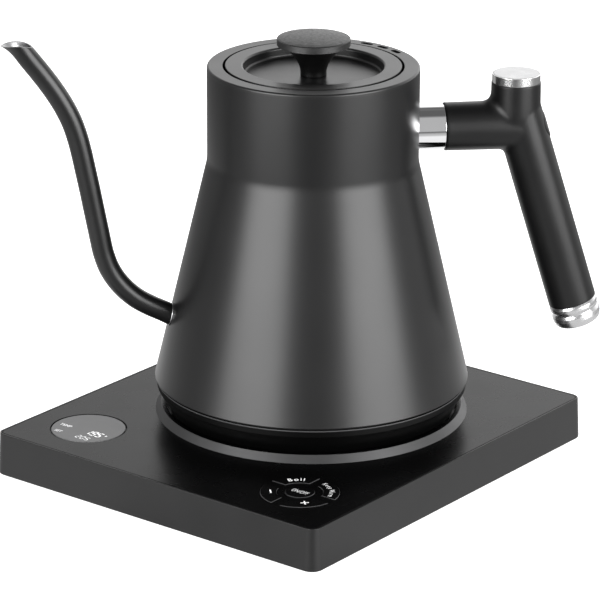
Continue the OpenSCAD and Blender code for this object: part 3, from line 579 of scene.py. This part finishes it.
# ---------------------------------------------------------------------------
# kettle: foot, body, rim
# ---------------------------------------------------------------------------
foot = rounded([(23, 21.15, 0.3), (67.5, 21.15, 0.6), (69.7, 25.9, 3.0), (74.95, 35.1, 0.8), (75.05, 37.85, 0.12), (72.6, 37.85), (72.4, 35.3), (67.6, 26.4), (65.8, 23.15),
                (25, 23.15), (25, 34.3), (23, 34.3)], n=5)
build("kettle_foot_moulding", [lathe(foot, 200)], "kettle", M["foot"], ["kettle_foot"])
# the trim's outer face is grey; its top and inner faces carry painted shade, a black line under the body's edge
trim = rounded([(72.95, 37.9), (75.2, 37.9, 0.12), (75.2, 38.42, 0.12), (75.0, 38.42), (73.9, 38.45), (73.9, 39.2), (72.95, 39.2)], n=3)
v, f, _ = lathe(trim, 240)
lit = [i for i, (r, z) in enumerate(trim) if r > 74.9]
build("foot_trim_line", [(v, [q for q in f if all(k // 240 in lit for k in q)], 0), (v, [q for q in f if not all(k // 240 in lit for k in q)], 1)],
      "kettle", [M["trim"], M["void"]], ["foot_trim"])

z0 = BODY_Z0
outer = rounded([(74.6, z0), (BODY_R0 - 0.1, z0, 0.4), (NECK_R, KNEE_Z, 22.0), (NECK_R, RIM_Z - 2.2), (NECK_R - 0.9, RIM_Z - 2.2),
                 (NECK_R - 0.9, KNEE_Z, 20.0), (74.6, z0 + 1.2)], n=8)
n_out = len(outer)
prof = outer
v, f, _ = lathe(prof, 240)
rz = np.array(prof)
inner_pt = [i for i, (r, z) in enumerate(prof) if z > z0 + 1.2 and r < (NECK_R if z > KNEE_Z else cone_r(z)) - 0.6]
inner_set = set(inner_pt)
fi, fo = [], []
for q in f:
    rings_i = {k // 240 for k in q}
    (fi if all(k in inner_set for k in rings_i) else fo).append(q)
bm_parts = [(v, fo, 0), (v, fi, 1)]
build("body_shell_spun", bm_parts, "kettle", [M["body"], M["steel_in"]], ["body_shell"])

rim = rounded([(42.95, 177.0, 0.2), (42.95, RIM_Z, 0.22), (NECK_R, RIM_Z, 1.9), (NECK_R, RIM_Z - 2.2), (49.3, RIM_Z - 2.2), (49.3, RIM_Z - 2.3), (49.3, 187.0), (48.3, 187.0),
               (48.3, RIM_Z - 1.6), (43.95, RIM_Z - 1.6), (43.95, 177.0, 0.2)], n=8)
rim_ob = build("rim_ring_formed", [lathe(rim, 240)], "kettle", M["rim"], ["rim_ring"])
cutters = []
for a in (24.6, 36.8, 49.0):
    def slot_loop(g, a=a):
        p = []
        for k in range(25):
            t = rad(-90 + 180 * k / 24)
            p.append((46.3 - 1.35 * math.sin(t), 2.0 + 1.3 * math.cos(t)))
        for k in range(25):
            t = rad(90 + 180 * k / 24)
            p.append((46.3 - 1.35 * math.sin(t), -2.0 + 1.3 * math.cos(t)))
        p = np.array(p)
        c, s = math.cos(rad(a)), math.sin(rad(a))
        return np.stack([p[:, 0] * c - p[:, 1] * s, p[:, 0] * s + p[:, 1] * c], 1)
    lo = slot_loop(0)
    cutters.append(skin([np.column_stack([lo, np.full(len(lo), 190.0)]), np.column_stack([lo, np.full(len(lo), 199.0)])], True, 0, caps=(True, True)))
cut = build("slot_cutter", cutters, "kettle", M["rim"])
mod = rim_ob.modifiers.new("slots", "BOOLEAN")
mod.operation, mod.solver, mod.object = "DIFFERENCE", "EXACT", cut
bpy.context.view_layer.update()
new = bpy.data.meshes.new_from_object(rim_ob.evaluated_get(bpy.context.evaluated_depsgraph_get()))
rim_ob.modifiers.clear()
rim_ob.data = new
new.name = "rim_ring_formed"
new.shade_smooth()
new.set_sharp_from_angle(angle=rad(32))
new.materials.clear()
new.materials.append(M["rim"])
new.materials.append(M["void"])
# painted shade: slot walls and the rim's inner wall below its top take the black finish
for poly in new.polygons:
    x, y, z = (q / MM for q in poly.center)
    r = math.hypot(x, y)
    deep = (z < RIM_Z - 0.06 and 43.1 < r < 49.2) or (r < 43.1 and z < RIM_Z - 0.3)
    poly.material_index = 1 if deep else 0
bpy.data.objects.remove(cut)

# ---------------------------------------------------------------------------
# lid
# ---------------------------------------------------------------------------
LZ = 194.55
cover = rounded([(0, 188.6), (33.2, 188.6, 0.8), (34.3, LZ - 1.0, 0.3), (40.95, LZ - 1.0, 0.3), (40.95, 189.0), (41.75, 189.0, 0.15), (41.75, LZ, 0.25), (33.2, LZ, 1.1), (33.2, 189.6, 1.3), (0, 189.6)], n=7, closed=False)
v, f, _ = lathe(cover, 240)
# painted shade: the lid's outer wall takes the black finish so the gap round the lid reads dark
wall = {i for i, (r, z) in enumerate(cover) if r > 41.5 and z < LZ - 0.2}
build("lid_cover_pressed", [(v, [q for q in f if not all(k // 240 in wall for k in q)], 0), (v, [q for q in f if all(k // 240 in wall for k in q)], 1)],
      "lid", [M["lid"], M["void"]], ["lid_cover"])


def catmull(P, sub):
    P = np.asarray(P, float)
    E = np.vstack([2 * P[0] - P[1], P, 2 * P[-1] - P[-2]])
    out = []
    for i in range(len(P) - 1):
        a, b, c, d = E[i:i + 4]
        for t in np.arange(sub) / sub:
            out.append(0.5 * (2 * b + (c - a) * t + (2 * a - 5 * b + 4 * c - d) * t * t + (3 * b - a - 3 * c + d) * t ** 3))
    return np.array(out + [P[-1]])


flare = catmull([(6.22, 190.1), (6.2, 191.4), (6.4, 192.8), (7.0, 194.8), (7.6, 196.0), (8.4, 197.3), (9.4, 198.8), (10.6, 200.3), (12.0, 201.7), (13.8, 203.0), (15.8, 203.9), (16.95, 204.22)], 4)
stem = [(0, 189.62), (6.0, 189.62), (6.15, 189.7)] + [tuple(q) for q in flare] + [(16.9, 204.4), (0, 204.4)]
build("knob_stem", [lathe(stem, 144)], "lid", M["stem"])
disc = rounded([(0, 204.25), (17.2, 204.25, 0.05), (17.4, 204.4, 0.1), (17.42, 207.25, 0.1), (17.1, 207.6, 0.1), (16.85, 207.52, 0.05), (16.6, 207.66, 0.1), (14.4, 208.02, 12), (11, 208.36, 14), (7, 208.62, 20), (3, 208.76, 20), (0, 208.78)], n=5, closed=False)
build("knob_disc", [lathe(disc, 192)], "lid", M["knob"], ["lid_knob"])

# ---------------------------------------------------------------------------
# spout
# ---------------------------------------------------------------------------
SP = [(-66.0, 70.9), (-68.45, 72.2), (-72.4, 74.3), (-76.2, 76.1), (-80.0, 78.1), (-83.8, 80.4), (-87.6, 83.4), (-91.2, 87.0), (-94.3, 90.9), (-96.7, 94.8),
      (-98.4, 98.4), (-99.7, 102.2), (-100.8, 106.3), (-102.3, 114.3), (-103.8, 122.3), (-105.3, 130.3), (-106.8, 138.3), (-108.4, 146.3),
      (-110.0, 154.3), (-111.9, 162.3), (-114.5, 170.3), (-118.2, 178.2), (-122.9, 186.1), (-128.5, 194.1), (-134.5, 202.0), (-139.4, 208.2)]
line = catmull(SP, 5)
tang = np.gradient(line, axis=0)
for _ in range(3):
    q = tang.copy()
    q[1:-1] = 0.25 * tang[:-2] + 0.5 * tang[1:-1] + 0.25 * tang[2:]
    tang = q
tang /= np.linalg.norm(tang, axis=1)[:, None]
dist = np.concatenate([[0], np.cumsum(np.linalg.norm(np.diff(line, axis=0), axis=1))])
to_tip = dist[-1] - dist
K = 56
ang = np.arange(K) * 2 * math.pi / K
ca, sa = np.cos(ang), np.sin(ang)


def square_ring(i, r):
    t, c = tang[i], line[i]
    n = np.array([t[1], -t[0]])
    return np.stack([c[0] + r * ca * n[0], r * sa, c[1] + r * ca * n[1]], 1)


def mouth_ring(half, wide):
    """the mouth is cut level: its front tip and its back dip a little below the sides"""
    return np.stack([-139.5 + half * ca, wide * sa, 208.58 - np.where(ca > 0, 1.55, 0.75) * ca ** 2], 1)


def spout_rings(r, half, wide, flare_out):
    last = int(np.argmin(np.abs(to_tip - 9.5)))
    rings = [square_ring(i, r) for i in range(last + 1)]
    S, E = rings[-1], mouth_ring(half, wide)
    t0 = np.array([tang[last][0], 0, tang[last][1]])
    t1 = np.array([tang[-1][0], 0, tang[-1][1]])
    radial = (E - E.mean(0)) / np.linalg.norm(E - E.mean(0), axis=1)[:, None]
    L = np.linalg.norm(E - S, axis=1)[:, None]
    out = flare_out * np.maximum(0, -ca)[:, None] + 0.12 * np.abs(sa)[:, None]
    T0, T1 = t0 * L, (t1 * (1 - 0.4 * out) + out * radial) * L
    for k in range(1, 13):
        x = k / 12
        rings.append((2 * x ** 3 - 3 * x * x + 1) * S + (x ** 3 - 2 * x * x + x) * T0 + (3 * x * x - 2 * x ** 3) * E + (x ** 3 - x * x) * T1)
    return rings


outs = spout_rings(SPOUT_R, 7.4, 5.4, 0.55)
ins = spout_rings(SPOUT_R - 0.75, 6.55, 4.6, 0.5)
mid, half = (outs[-1] + ins[-1]) / 2, (outs[-1] - ins[-1]) / 2
lip = [mid + half * math.cos(math.pi * k / 6) + np.array([0, 0, 0.16 * math.sin(math.pi * k / 6)]) for k in range(1, 6)]
va, fa, _ = skin(outs + lip[:1], True)
vb, fb, _ = skin(lip + ins[::-1], True)
vc, fc, _ = skin([ins[0], outs[0]], True)
build("spout_tube", [(va, fa, 0), (vb, fb, 1), (vc, fc, 1)], "kettle", [M["spout"], M["mouth"]], ["spout"])

# the bright line where the tube enters the body: a thin ring that follows the cone
TILT = math.atan2(SP[2][1] - SP[1][1], SP[1][0] - SP[2][0])
ax_u, ax_v, ax_t = np.array([math.sin(TILT), 0, math.cos(TILT)]), np.array([0, 1.0, 0]), np.array([-math.cos(TILT), 0, math.sin(TILT)])
c0 = np.array([SP[1][0], 0, SP[1][1]])


def on_cone(r, lift):
    out = []
    for t in np.arange(72) * 2 * math.pi / 72:
        q = c0 + r * (math.cos(t) * ax_u + math.sin(t) * ax_v)
        lo, hi = -12.0, 12.0
        for _ in range(40):
            m_ = (lo + hi) / 2
            w = q + m_ * ax_t
            if math.hypot(w[0], w[1]) - cone_r(w[2]) < lift:
                lo = m_
            else:
                hi = m_
        out.append(q + lo * ax_t)
    return np.array(out)


ri_, ro_ = SPOUT_R + 0.02, SPOUT_R + 0.3
build("spout_root_ring", [skin([on_cone(ri_, 0.07), on_cone(ro_, 0.07), on_cone(ro_, 0.30), on_cone(ro_ - 0.12, 0.5), on_cone(ri_, 0.5)], True, 0, loop=True)],
      "kettle", M["weld"], ["spout_ring"])

# ---------------------------------------------------------------------------
# handle
# ---------------------------------------------------------------------------
def capsule(p, a, b, r):
    a, b = np.array(a, float), np.array(b, float)
    d = b - a
    t = np.clip(((p - a) @ d) / (d @ d), 0, 1)
    q = p - (a + t[..., None] * d)
    l = np.linalg.norm(q, axis=-1)
    return l - r, q / np.maximum(l, 1e-9)[..., None]


gs, gc = math.sin(rad(LEAN)), math.cos(rad(LEAN))
g_end = (POST_X + gs * 125, 0, GRIP_Z0 - gc * 125)


def smooth_union(a, na, b, nb, k, power=1.0):
    kk = k * np.clip(1 - np.sum(na * nb, -1), 0, 1) ** power + 1e-4
    h = np.clip(0.5 + 0.5 * (b - a) / kk, 0, 1)
    d = b * (1 - h) + a * h - kk * h * (1 - h)
    n = na * h[..., None] + nb * (1 - h[..., None])
    return d, n / np.maximum(np.linalg.norm(n, axis=-1), 1e-9)[..., None]


def handle_field(p):
    arm_r = ARM_R + 0.15 * np.clip((p[..., 0] - 66) / 20, 0, 1)
    a, na = capsule(p, (40, 0, ARM_Z), (POST_X, 0, ARM_Z), 0.0)
    a = a - arm_r
    b, nb = capsule(p, (POST_X, 0, 169), (POST_X, 0, 205), 0.0)
    # the neck is a touch slimmer at its top
    b = b - (POST_R - 0.15 * np.clip((p[..., 2] - 172) / 12, 0, 1))
    g, ng = capsule(p, (POST_X, 0, GRIP_Z0), g_end, GRIP_R)
    d, n = smooth_union(b, nb, g, ng, 5.0)
    d, n = smooth_union(a, na, d, n, 5.0)
    return d


def nets(fn, lo, hi, h):
    """naive surface nets, then each vertex slid onto the zero surface"""
    ax = [np.arange(l, u + h, h) for l, u in zip(lo, hi)]
    X, Y, Z = np.meshgrid(*ax, indexing="ij")
    F = fn(np.stack([X, Y, Z], -1))
    S = F < 0
    nx, ny, nz = (s - 1 for s in F.shape)
    pos, cnt = np.zeros((nx, ny, nz, 3)), np.zeros((nx, ny, nz))
    corner = lambda A, i, j, k: A[i:i + nx, j:j + ny, k:k + nz]
    for axis in range(3):
        for u in (0, 1):
            for w in (0, 1):
                o0 = [0, 0, 0]
                o0[(axis + 1) % 3], o0[(axis + 2) % 3] = u, w
                o1 = list(o0)
                o1[axis] = 1
                f0, f1 = corner(F, *o0), corner(F, *o1)
                m = (f0 < 0) != (f1 < 0)
                t = np.where(m, f0 / np.where(m, f0 - f1, 1), 0)
                for c in range(3):
                    pos[..., c] += np.where(m, (o0[c] + (t if c == axis else 0)), 0)
                cnt += m
    act = cnt > 0
    idx = -np.ones(cnt.shape, int)
    idx[act] = np.arange(act.sum())
    ii = np.argwhere(act)
    V = np.array(lo) + h * (ii + pos[act] / cnt[act][:, None])
    faces = []
    for axis in range(3):
        b, c = (axis + 1) % 3, (axis + 2) % 3
        sl0, sl1 = [slice(None)] * 3, [slice(None)] * 3
        sl0[axis], sl1[axis] = slice(0, -1), slice(1, None)
        d = S[tuple(sl0)].astype(int) - S[tuple(sl1)].astype(int)
        for i in np.argwhere(d != 0):
            if i[b] == 0 or i[c] == 0 or i[b] > idx.shape[b] - 1 or i[c] > idx.shape[c] - 1:
                continue
            q = []
            for db, dc in ((0, 0), (1, 0), (1, 1), (0, 1)):
                j = i.copy()
                j[b] -= db
                j[c] -= dc
                q.append(idx[tuple(j)])
            faces.append(tuple(q) if d[tuple(i)] > 0 else tuple(q[::-1]))
    for _ in range(4):
        f0 = fn(V)
        g = np.stack([(fn(V + e) - fn(V - e)) / 0.02 for e in np.eye(3) * 0.01], -1)
        V = V - f0[:, None] * g / np.maximum((g * g).sum(1), 1e-9)[:, None]
    return V, faces


def trimmed(verts, faces, cuts, name, body, mats, replaces):
    """cuts: (point, outward normal, rounding). Cuts the mesh there and closes it with a rounded edge."""
    bm = bmesh.new()
    bv = [bm.verts.new(p) for p in np.asarray(verts)]
    for f in faces:
        if -1 not in f:
            bm.faces.new([bv[i] for i in f])
    for co, no, r in cuts:
        co, no = Vector(co), Vector(no).normalized()
        geom = list(bm.verts) + list(bm.edges) + list(bm.faces)
        cutp = co - no * r
        bmesh.ops.bisect_plane(bm, geom=geom, dist=1e-5, plane_co=cutp, plane_no=no, clear_outer=True)
        bmesh.ops.remove_doubles(bm, verts=[v for v in bm.verts if abs((v.co - cutp).dot(no)) < 1e-3], dist=0.08)
        rim_e = [e for e in bm.edges if e.is_boundary and all(abs((v.co - cutp).dot(no)) < 1e-3 for v in e.verts)]
        rim_v = list({v for e in rim_e for v in e.verts})
        centre = sum((v.co for v in rim_v), Vector()) / len(rim_v)
        for k in range(1, 4):
            a = math.pi / 2 * k / 3
            got = bmesh.ops.extrude_edge_only(bm, edges=rim_e)["geom"]
            nv = [g for g in got if isinstance(g, bmesh.types.BMVert)]
            a0 = math.pi / 2 * (k - 1) / 3
            dz, dr = r * (math.sin(a) - math.sin(a0)), r * (math.cos(a0) - math.cos(a))
            for v in nv:
                w = v.co - centre
                w = w - no * w.dot(no)
                v.co += no * dz - w.normalized() * dr
            rim_e = [g for g in got if isinstance(g, bmesh.types.BMEdge) and g.is_boundary and all(x in set(nv) for x in g.verts)]
            centre = centre + no * dz
        bmesh.ops.edgeloop_fill(bm, edges=rim_e)
    bmesh.ops.recalc_face_normals(bm, faces=bm.faces)
    for v in bm.verts:
        v.co *= MM
    me = bpy.data.meshes.new(name)
    bm.to_mesh(me)
    bm.free()
    me.shade_smooth()
    me.set_sharp_from_angle(angle=rad(40))
    ob = bpy.data.objects.new(name, me)
    bpy.context.scene.collection.objects.link(ob)
    me.materials.append(mats)
    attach(ob, body)
    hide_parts(*replaces)
    return ob


hv, hf = nets(handle_field, (52.0, -15.0, 58.0), (148.0, 15.0, 196.0), 0.9)
trimmed(hv, hf, [((62.95, 0, 0), (-1, 0, 0), 0.35), ((0, 0, 183.5), (0, 0, 1), 0.35),
                 (tuple(along_grip([0, 0, GRIP_LEN])), (gs, 0, -gc), 0.35)], "handle_grip_moulding", "kettle", M["grip"], ["handle_grip"])

ferr = rounded([(8.3, 48.6), (10.75, 48.6), (10.75, 62.6, 0.25), (8.3, 62.6)], n=3)
build("handle_ferrule_tube", [lathe(ferr, 128)], "kettle", M["chrome"], ["handle_ferrule"], place=along_x)
gapring = [(8.3, 62.55), (10.3, 62.55), (10.3, 62.98), (8.3, 62.98)]
build("ferrule_shadow_gap", [lathe(gapring, 96)], "kettle", M["stem"], place=along_x)

cap = rounded([(9.5, 183.3), (11.5, 183.58, 0.15), (11.5, 187.6, 0.35), (11.15, 187.6, 0.06), (11.15, 186.9), (9.5, 186.9)], n=4)
build("handle_cap_band", [lathe(cap, 128)], "kettle", M["cap_chrome"], ["handle_cap"], place=at_post)
cd = rounded([(0, 186.6), (11.05, 186.6), (11.05, 187.7, 0.3), (0, 187.7)], n=4, closed=False)
build("cap_disc_turned", [lathe(cd, 128)], "kettle", M["disc"], ["cap_disc"], place=at_post)

e0 = GRIP_LEN + 0.05
ec = rounded([(0, e0 - 6), (9, e0 - 6), (9, e0 + 0.2), (11.0, e0 + 0.05), (11.7, e0 + 1.2, 1.2), (11.72, e0 + 2.9, 1.6), (11.05, e0 + 4.3, 0.5), (11.05, e0 + 4.7, 0.5),
              (11.72, e0 + 6.1, 1.6), (11.74, e0 + 8.0, 1.8), (10.9, e0 + 10.9, 2.2), (8.7, e0 + 11.8, 1.5), (0, e0 + 11.85)], n=6, closed=False)
build("grip_end_cap_turned", [lathe(ec, 128)], "kettle", M["end_chrome"], ["grip_end_cap"], place=along_grip)

# plug over the bolt, domed with the grip's back
pr, px0 = 6.1, 108.6
rr_ = [0, 1.2, 2.4, 3.6, 4.8, 5.5, 5.9, 6.1]
aa = np.arange(64) * 2 * math.pi / 64


def plug_front(y, z):
    """x of the grip's back surface at (y, z), a little proud"""
    R = GRIP_R + 0.4
    xa = POST_X + (GRIP_Z0 - z) * math.tan(rad(LEAN))
    return xa + math.sqrt(max(R * R - y * y, 0)) / gc


rings = []
for k, r in enumerate(rr_):
    drop = 0.35 * (max(0, (r - 5.2)) / 0.9) ** 2
    rings.append(np.array([(plug_front(r * math.cos(a), ARM_Z + r * math.sin(a)) - drop, r * math.cos(a), ARM_Z + r * math.sin(a)) for a in aa]))
rings.append(np.array([(px0, 6.1 * math.cos(a), ARM_Z + 6.1 * math.sin(a)) for a in aa]))
rings.append(np.array([(px0, 0.0, ARM_Z) for a in aa]))
build("bolt_plug_domed", [skin(rings)], "kettle", M["grip"], ["bolt_plug"])

# ---------------------------------------------------------------------------
# studio
# ---------------------------------------------------------------------------
scene = bpy.context.scene
scene.view_settings.view_transform = "Standard"

fl = bpy.data.materials.new("floor_pale")
fl.use_nodes = True
nt = fl.node_tree
b = nt.nodes["Principled BSDF"]
tcn, nn, mx_ = nt.nodes.new("ShaderNodeTexCoord"), nt.nodes.new("ShaderNodeTexNoise"), nt.nodes.new("ShaderNodeMix")
mx_.data_type = "RGBA"
mx_.inputs["A"].default_value, mx_.inputs["B"].default_value = (0.86, 0.86, 0.86, 1), (0.90, 0.90, 0.90, 1)
nn.inputs["Scale"].default_value = 3.0
nt.links.new(tcn.outputs["Object"], nn.inputs["Vector"])
nt.links.new(nn.outputs["Fac"], mx_.inputs["Factor"])
nt.links.new(mx_.outputs["Result"], b.inputs["Base Color"])
b.inputs["Roughness"].default_value = 0.9
b.inputs["Specular IOR Level"].default_value = 0.0
b.inputs["Emission Color"].default_value = (1, 1, 1, 1)
b.inputs["Emission Strength"].default_value = 0.85
fm = bpy.data.meshes.new("floor")
n = 24
g = np.linspace(-8, 8, n + 1)
fv = [(x, y, 0.0) for y in g for x in g]
ff = [(j * (n + 1) + i, j * (n + 1) + i + 1, (j + 1) * (n + 1) + i + 1, (j + 1) * (n + 1) + i) for j in range(n) for i in range(n)]
fm.from_pydata(fv, [], ff)
fm.materials.append(fl)
floor = bpy.data.objects.new("floor", fm)
scene.collection.objects.link(floor)
floor.visible_glossy = False
floor.visible_shadow = False

world = bpy.data.worlds.new("studio")
scene.world = world
world.use_nodes = True
nt = world.node_tree
nt.nodes.clear()
N, L = nt.nodes.new, nt.links.new
wo, bg, tc, sep = N("ShaderNodeOutputWorld"), N("ShaderNodeBackground"), N("ShaderNodeTexCoord"), N("ShaderNodeSeparateXYZ")
L(bg.outputs[0], wo.inputs["Surface"])
L(tc.outputs["Generated"], sep.inputs[0])


def wm(op, a, b=0.0, c=0.0):
    q = N("ShaderNodeMath")
    q.operation = op
    for i, x in enumerate((a, b, c)):
        if isinstance(x, (int, float)):
            q.inputs[i].default_value = x
        else:
            L(x, q.inputs[i])
    return q.outputs[0]


def step(v, a, b):
    r = N("ShaderNodeMapRange")
    r.interpolation_type = "SMOOTHSTEP"
    r.inputs["From Min"].default_value, r.inputs["From Max"].default_value = a, b
    L(v, r.inputs["Value"])
    return r.outputs["Result"]


X, Y, Z = sep.outputs[0], sep.outputs[1], sep.outputs[2]


def lerp(a, b, t):
    return wm("ADD", a, wm("MULTIPLY", wm("SUBTRACT", b, a), t))


toward_back = step(wm("ADD", wm("MULTIPLY", X, 0.125), wm("MULTIPLY", Y, 0.992)), -0.15, 0.65)
back = lerp(lerp(0.05, wm("ADD", 0.5, wm("MULTIPLY", step(X, -0.35, 0.35), 1.4)), step(Z, -0.22, 0.0)), 0.125, step(Z, 0.50, 0.80))
front = lerp(lerp(0.10, 0.50, step(Z, -0.30, -0.08)), 0.125, step(Z, 0.86, 0.96))
L(lerp(front, back, toward_back), bg.inputs["Strength"])
bg.inputs["Color"].default_value = (1, 1, 1, 1)


def softbox(name, azimuth, distance, low, high, width, radiance):
    """an upright light, azimuth in degrees from +X, counter-clockwise"""
    li = bpy.data.lights.new(name, "AREA")
    h = high - low
    li.shape, li.size, li.size_y, li.energy = "RECTANGLE", width, h, radiance * math.pi * width * h
    ob = bpy.data.objects.new(name, li)
    scene.collection.objects.link(ob)
    p = Vector((distance * math.cos(rad(azimuth)), distance * math.sin(rad(azimuth)), (low + high) / 2))
    ob.location = p
    ob.rotation_mode = "QUATERNION"
    ob.rotation_quaternion = (Vector((0, 0, p.z)) - p).to_track_quat("-Z", "Y")
    ob.visible_camera = False
    return ob


softbox("softbox_left", -141.5, 1.5, -0.17, 1.0, 1.25, 9.0)
softbox("softbox_right", -46.0, 1.5, -0.26, 1.0, 1.25, 9.0)

# what shiny parts see of the table: bright near the object, dark further off
tb = bpy.data.materials.new("table_in_reflections")
tb.use_nodes = True
nt = tb.node_tree
nt.nodes.clear()
N, L = nt.nodes.new, nt.links.new
to, em, tc = N("ShaderNodeOutputMaterial"), N("ShaderNodeEmission"), N("ShaderNodeTexCoord")
ln_ = N("ShaderNodeVectorMath")
ln_.operation = "LENGTH"
L(tc.outputs["Object"], ln_.inputs[0])
unit = N("ShaderNodeVectorMath")
unit.operation = "NORMALIZE"
L(tc.outputs["Object"], unit.inputs[0])


def tmath(op, a, b):
    n = N("ShaderNodeMath")
    n.operation = op
    for k, v in enumerate((a, b)):
        if isinstance(v, (int, float)):
            n.inputs[k].default_value = v
        else:
            L(v, n.inputs[k])
    return n.outputs[0]


def ramp(value, a, b, lo, hi):
    n = N("ShaderNodeMapRange")
    n.interpolation_type = "SMOOTHSTEP"
    for k, v in (("From Min", a), ("From Max", b), ("To Min", lo), ("To Max", hi)):
        n.inputs[k].default_value = v
    L(value, n.inputs["Value"])
    return n.outputs["Result"]


def toward(azimuth, a, b, lo, hi):
    """ramp on the cosine of the angle from a direction on the table"""
    n = N("ShaderNodeVectorMath")
    n.operation = "DOT_PRODUCT"
    L(unit.outputs["Vector"], n.inputs[0])
    n.inputs[1].default_value = (math.cos(rad(azimuth)), math.sin(rad(azimuth)), 0)
    return ramp(n.outputs["Value"], a, b, lo, hi)


far = tmath("ADD", ramp(ln_.outputs["Value"], 0.34, 0.72, 0.36, 0.0), ramp(ln_.outputs["Value"], 0.75, 1.0, 0.22, 0.10))
far = tmath("MULTIPLY", far, tmath("MULTIPLY", toward(-107, 0.80, 0.97, 1.0, 0.3), toward(-24, 0.72, 0.97, 1.0, 0.9)))
L(tmath("ADD", far, ramp(ln_.outputs["Value"], 0.22, 0.34, 0.45, 0.0)), em.inputs["Strength"])
L(em.outputs[0], to.inputs["Surface"])
tm = bpy.data.meshes.new("table_in_reflections")
rim_n = 64
tv = [(0, 0, 0)] + [(math.cos(2 * math.pi * k / rim_n), math.sin(2 * math.pi * k / rim_n), 0) for k in range(rim_n)]
tm.from_pydata(tv, [], [(0, 1 + k, 1 + (k + 1) % rim_n) for k in range(rim_n)])
tm.materials.append(tb)
table = bpy.data.objects.new("table_in_reflections", tm)
scene.collection.objects.link(table)
table.location = (0, 0, -0.002)
table.rotation_euler = (0, 0, rad(-7.4))
table.scale = (1.15, 1.0, 1)
table.visible_camera = table.visible_diffuse = table.visible_shadow = table.visible_transmission = False

# ---------------------------------------------------------------------------
# camera
# ---------------------------------------------------------------------------
cam = bpy.data.cameras.new("camera")
co = bpy.data.objects.new("camera", cam)
scene.collection.objects.link(co)
cam.sensor_width, cam.lens = 36.0, 217.037
cam.clip_start, cam.clip_end = 0.1, 50
r_ = Vector((0.9923425, -0.1234015, 0.0053307)).normalized()
u_ = Vector((0.0362789, 0.3324504, 0.9424227)).normalized()
b_ = r_.cross(u_)
m3 = Matrix((r_, u_, b_)).transposed()
co.matrix_world = Matrix.Translation(Vector((-0.211798, -1.631302, 0.660403))) @ m3.to_4x4()
scene.camera = co
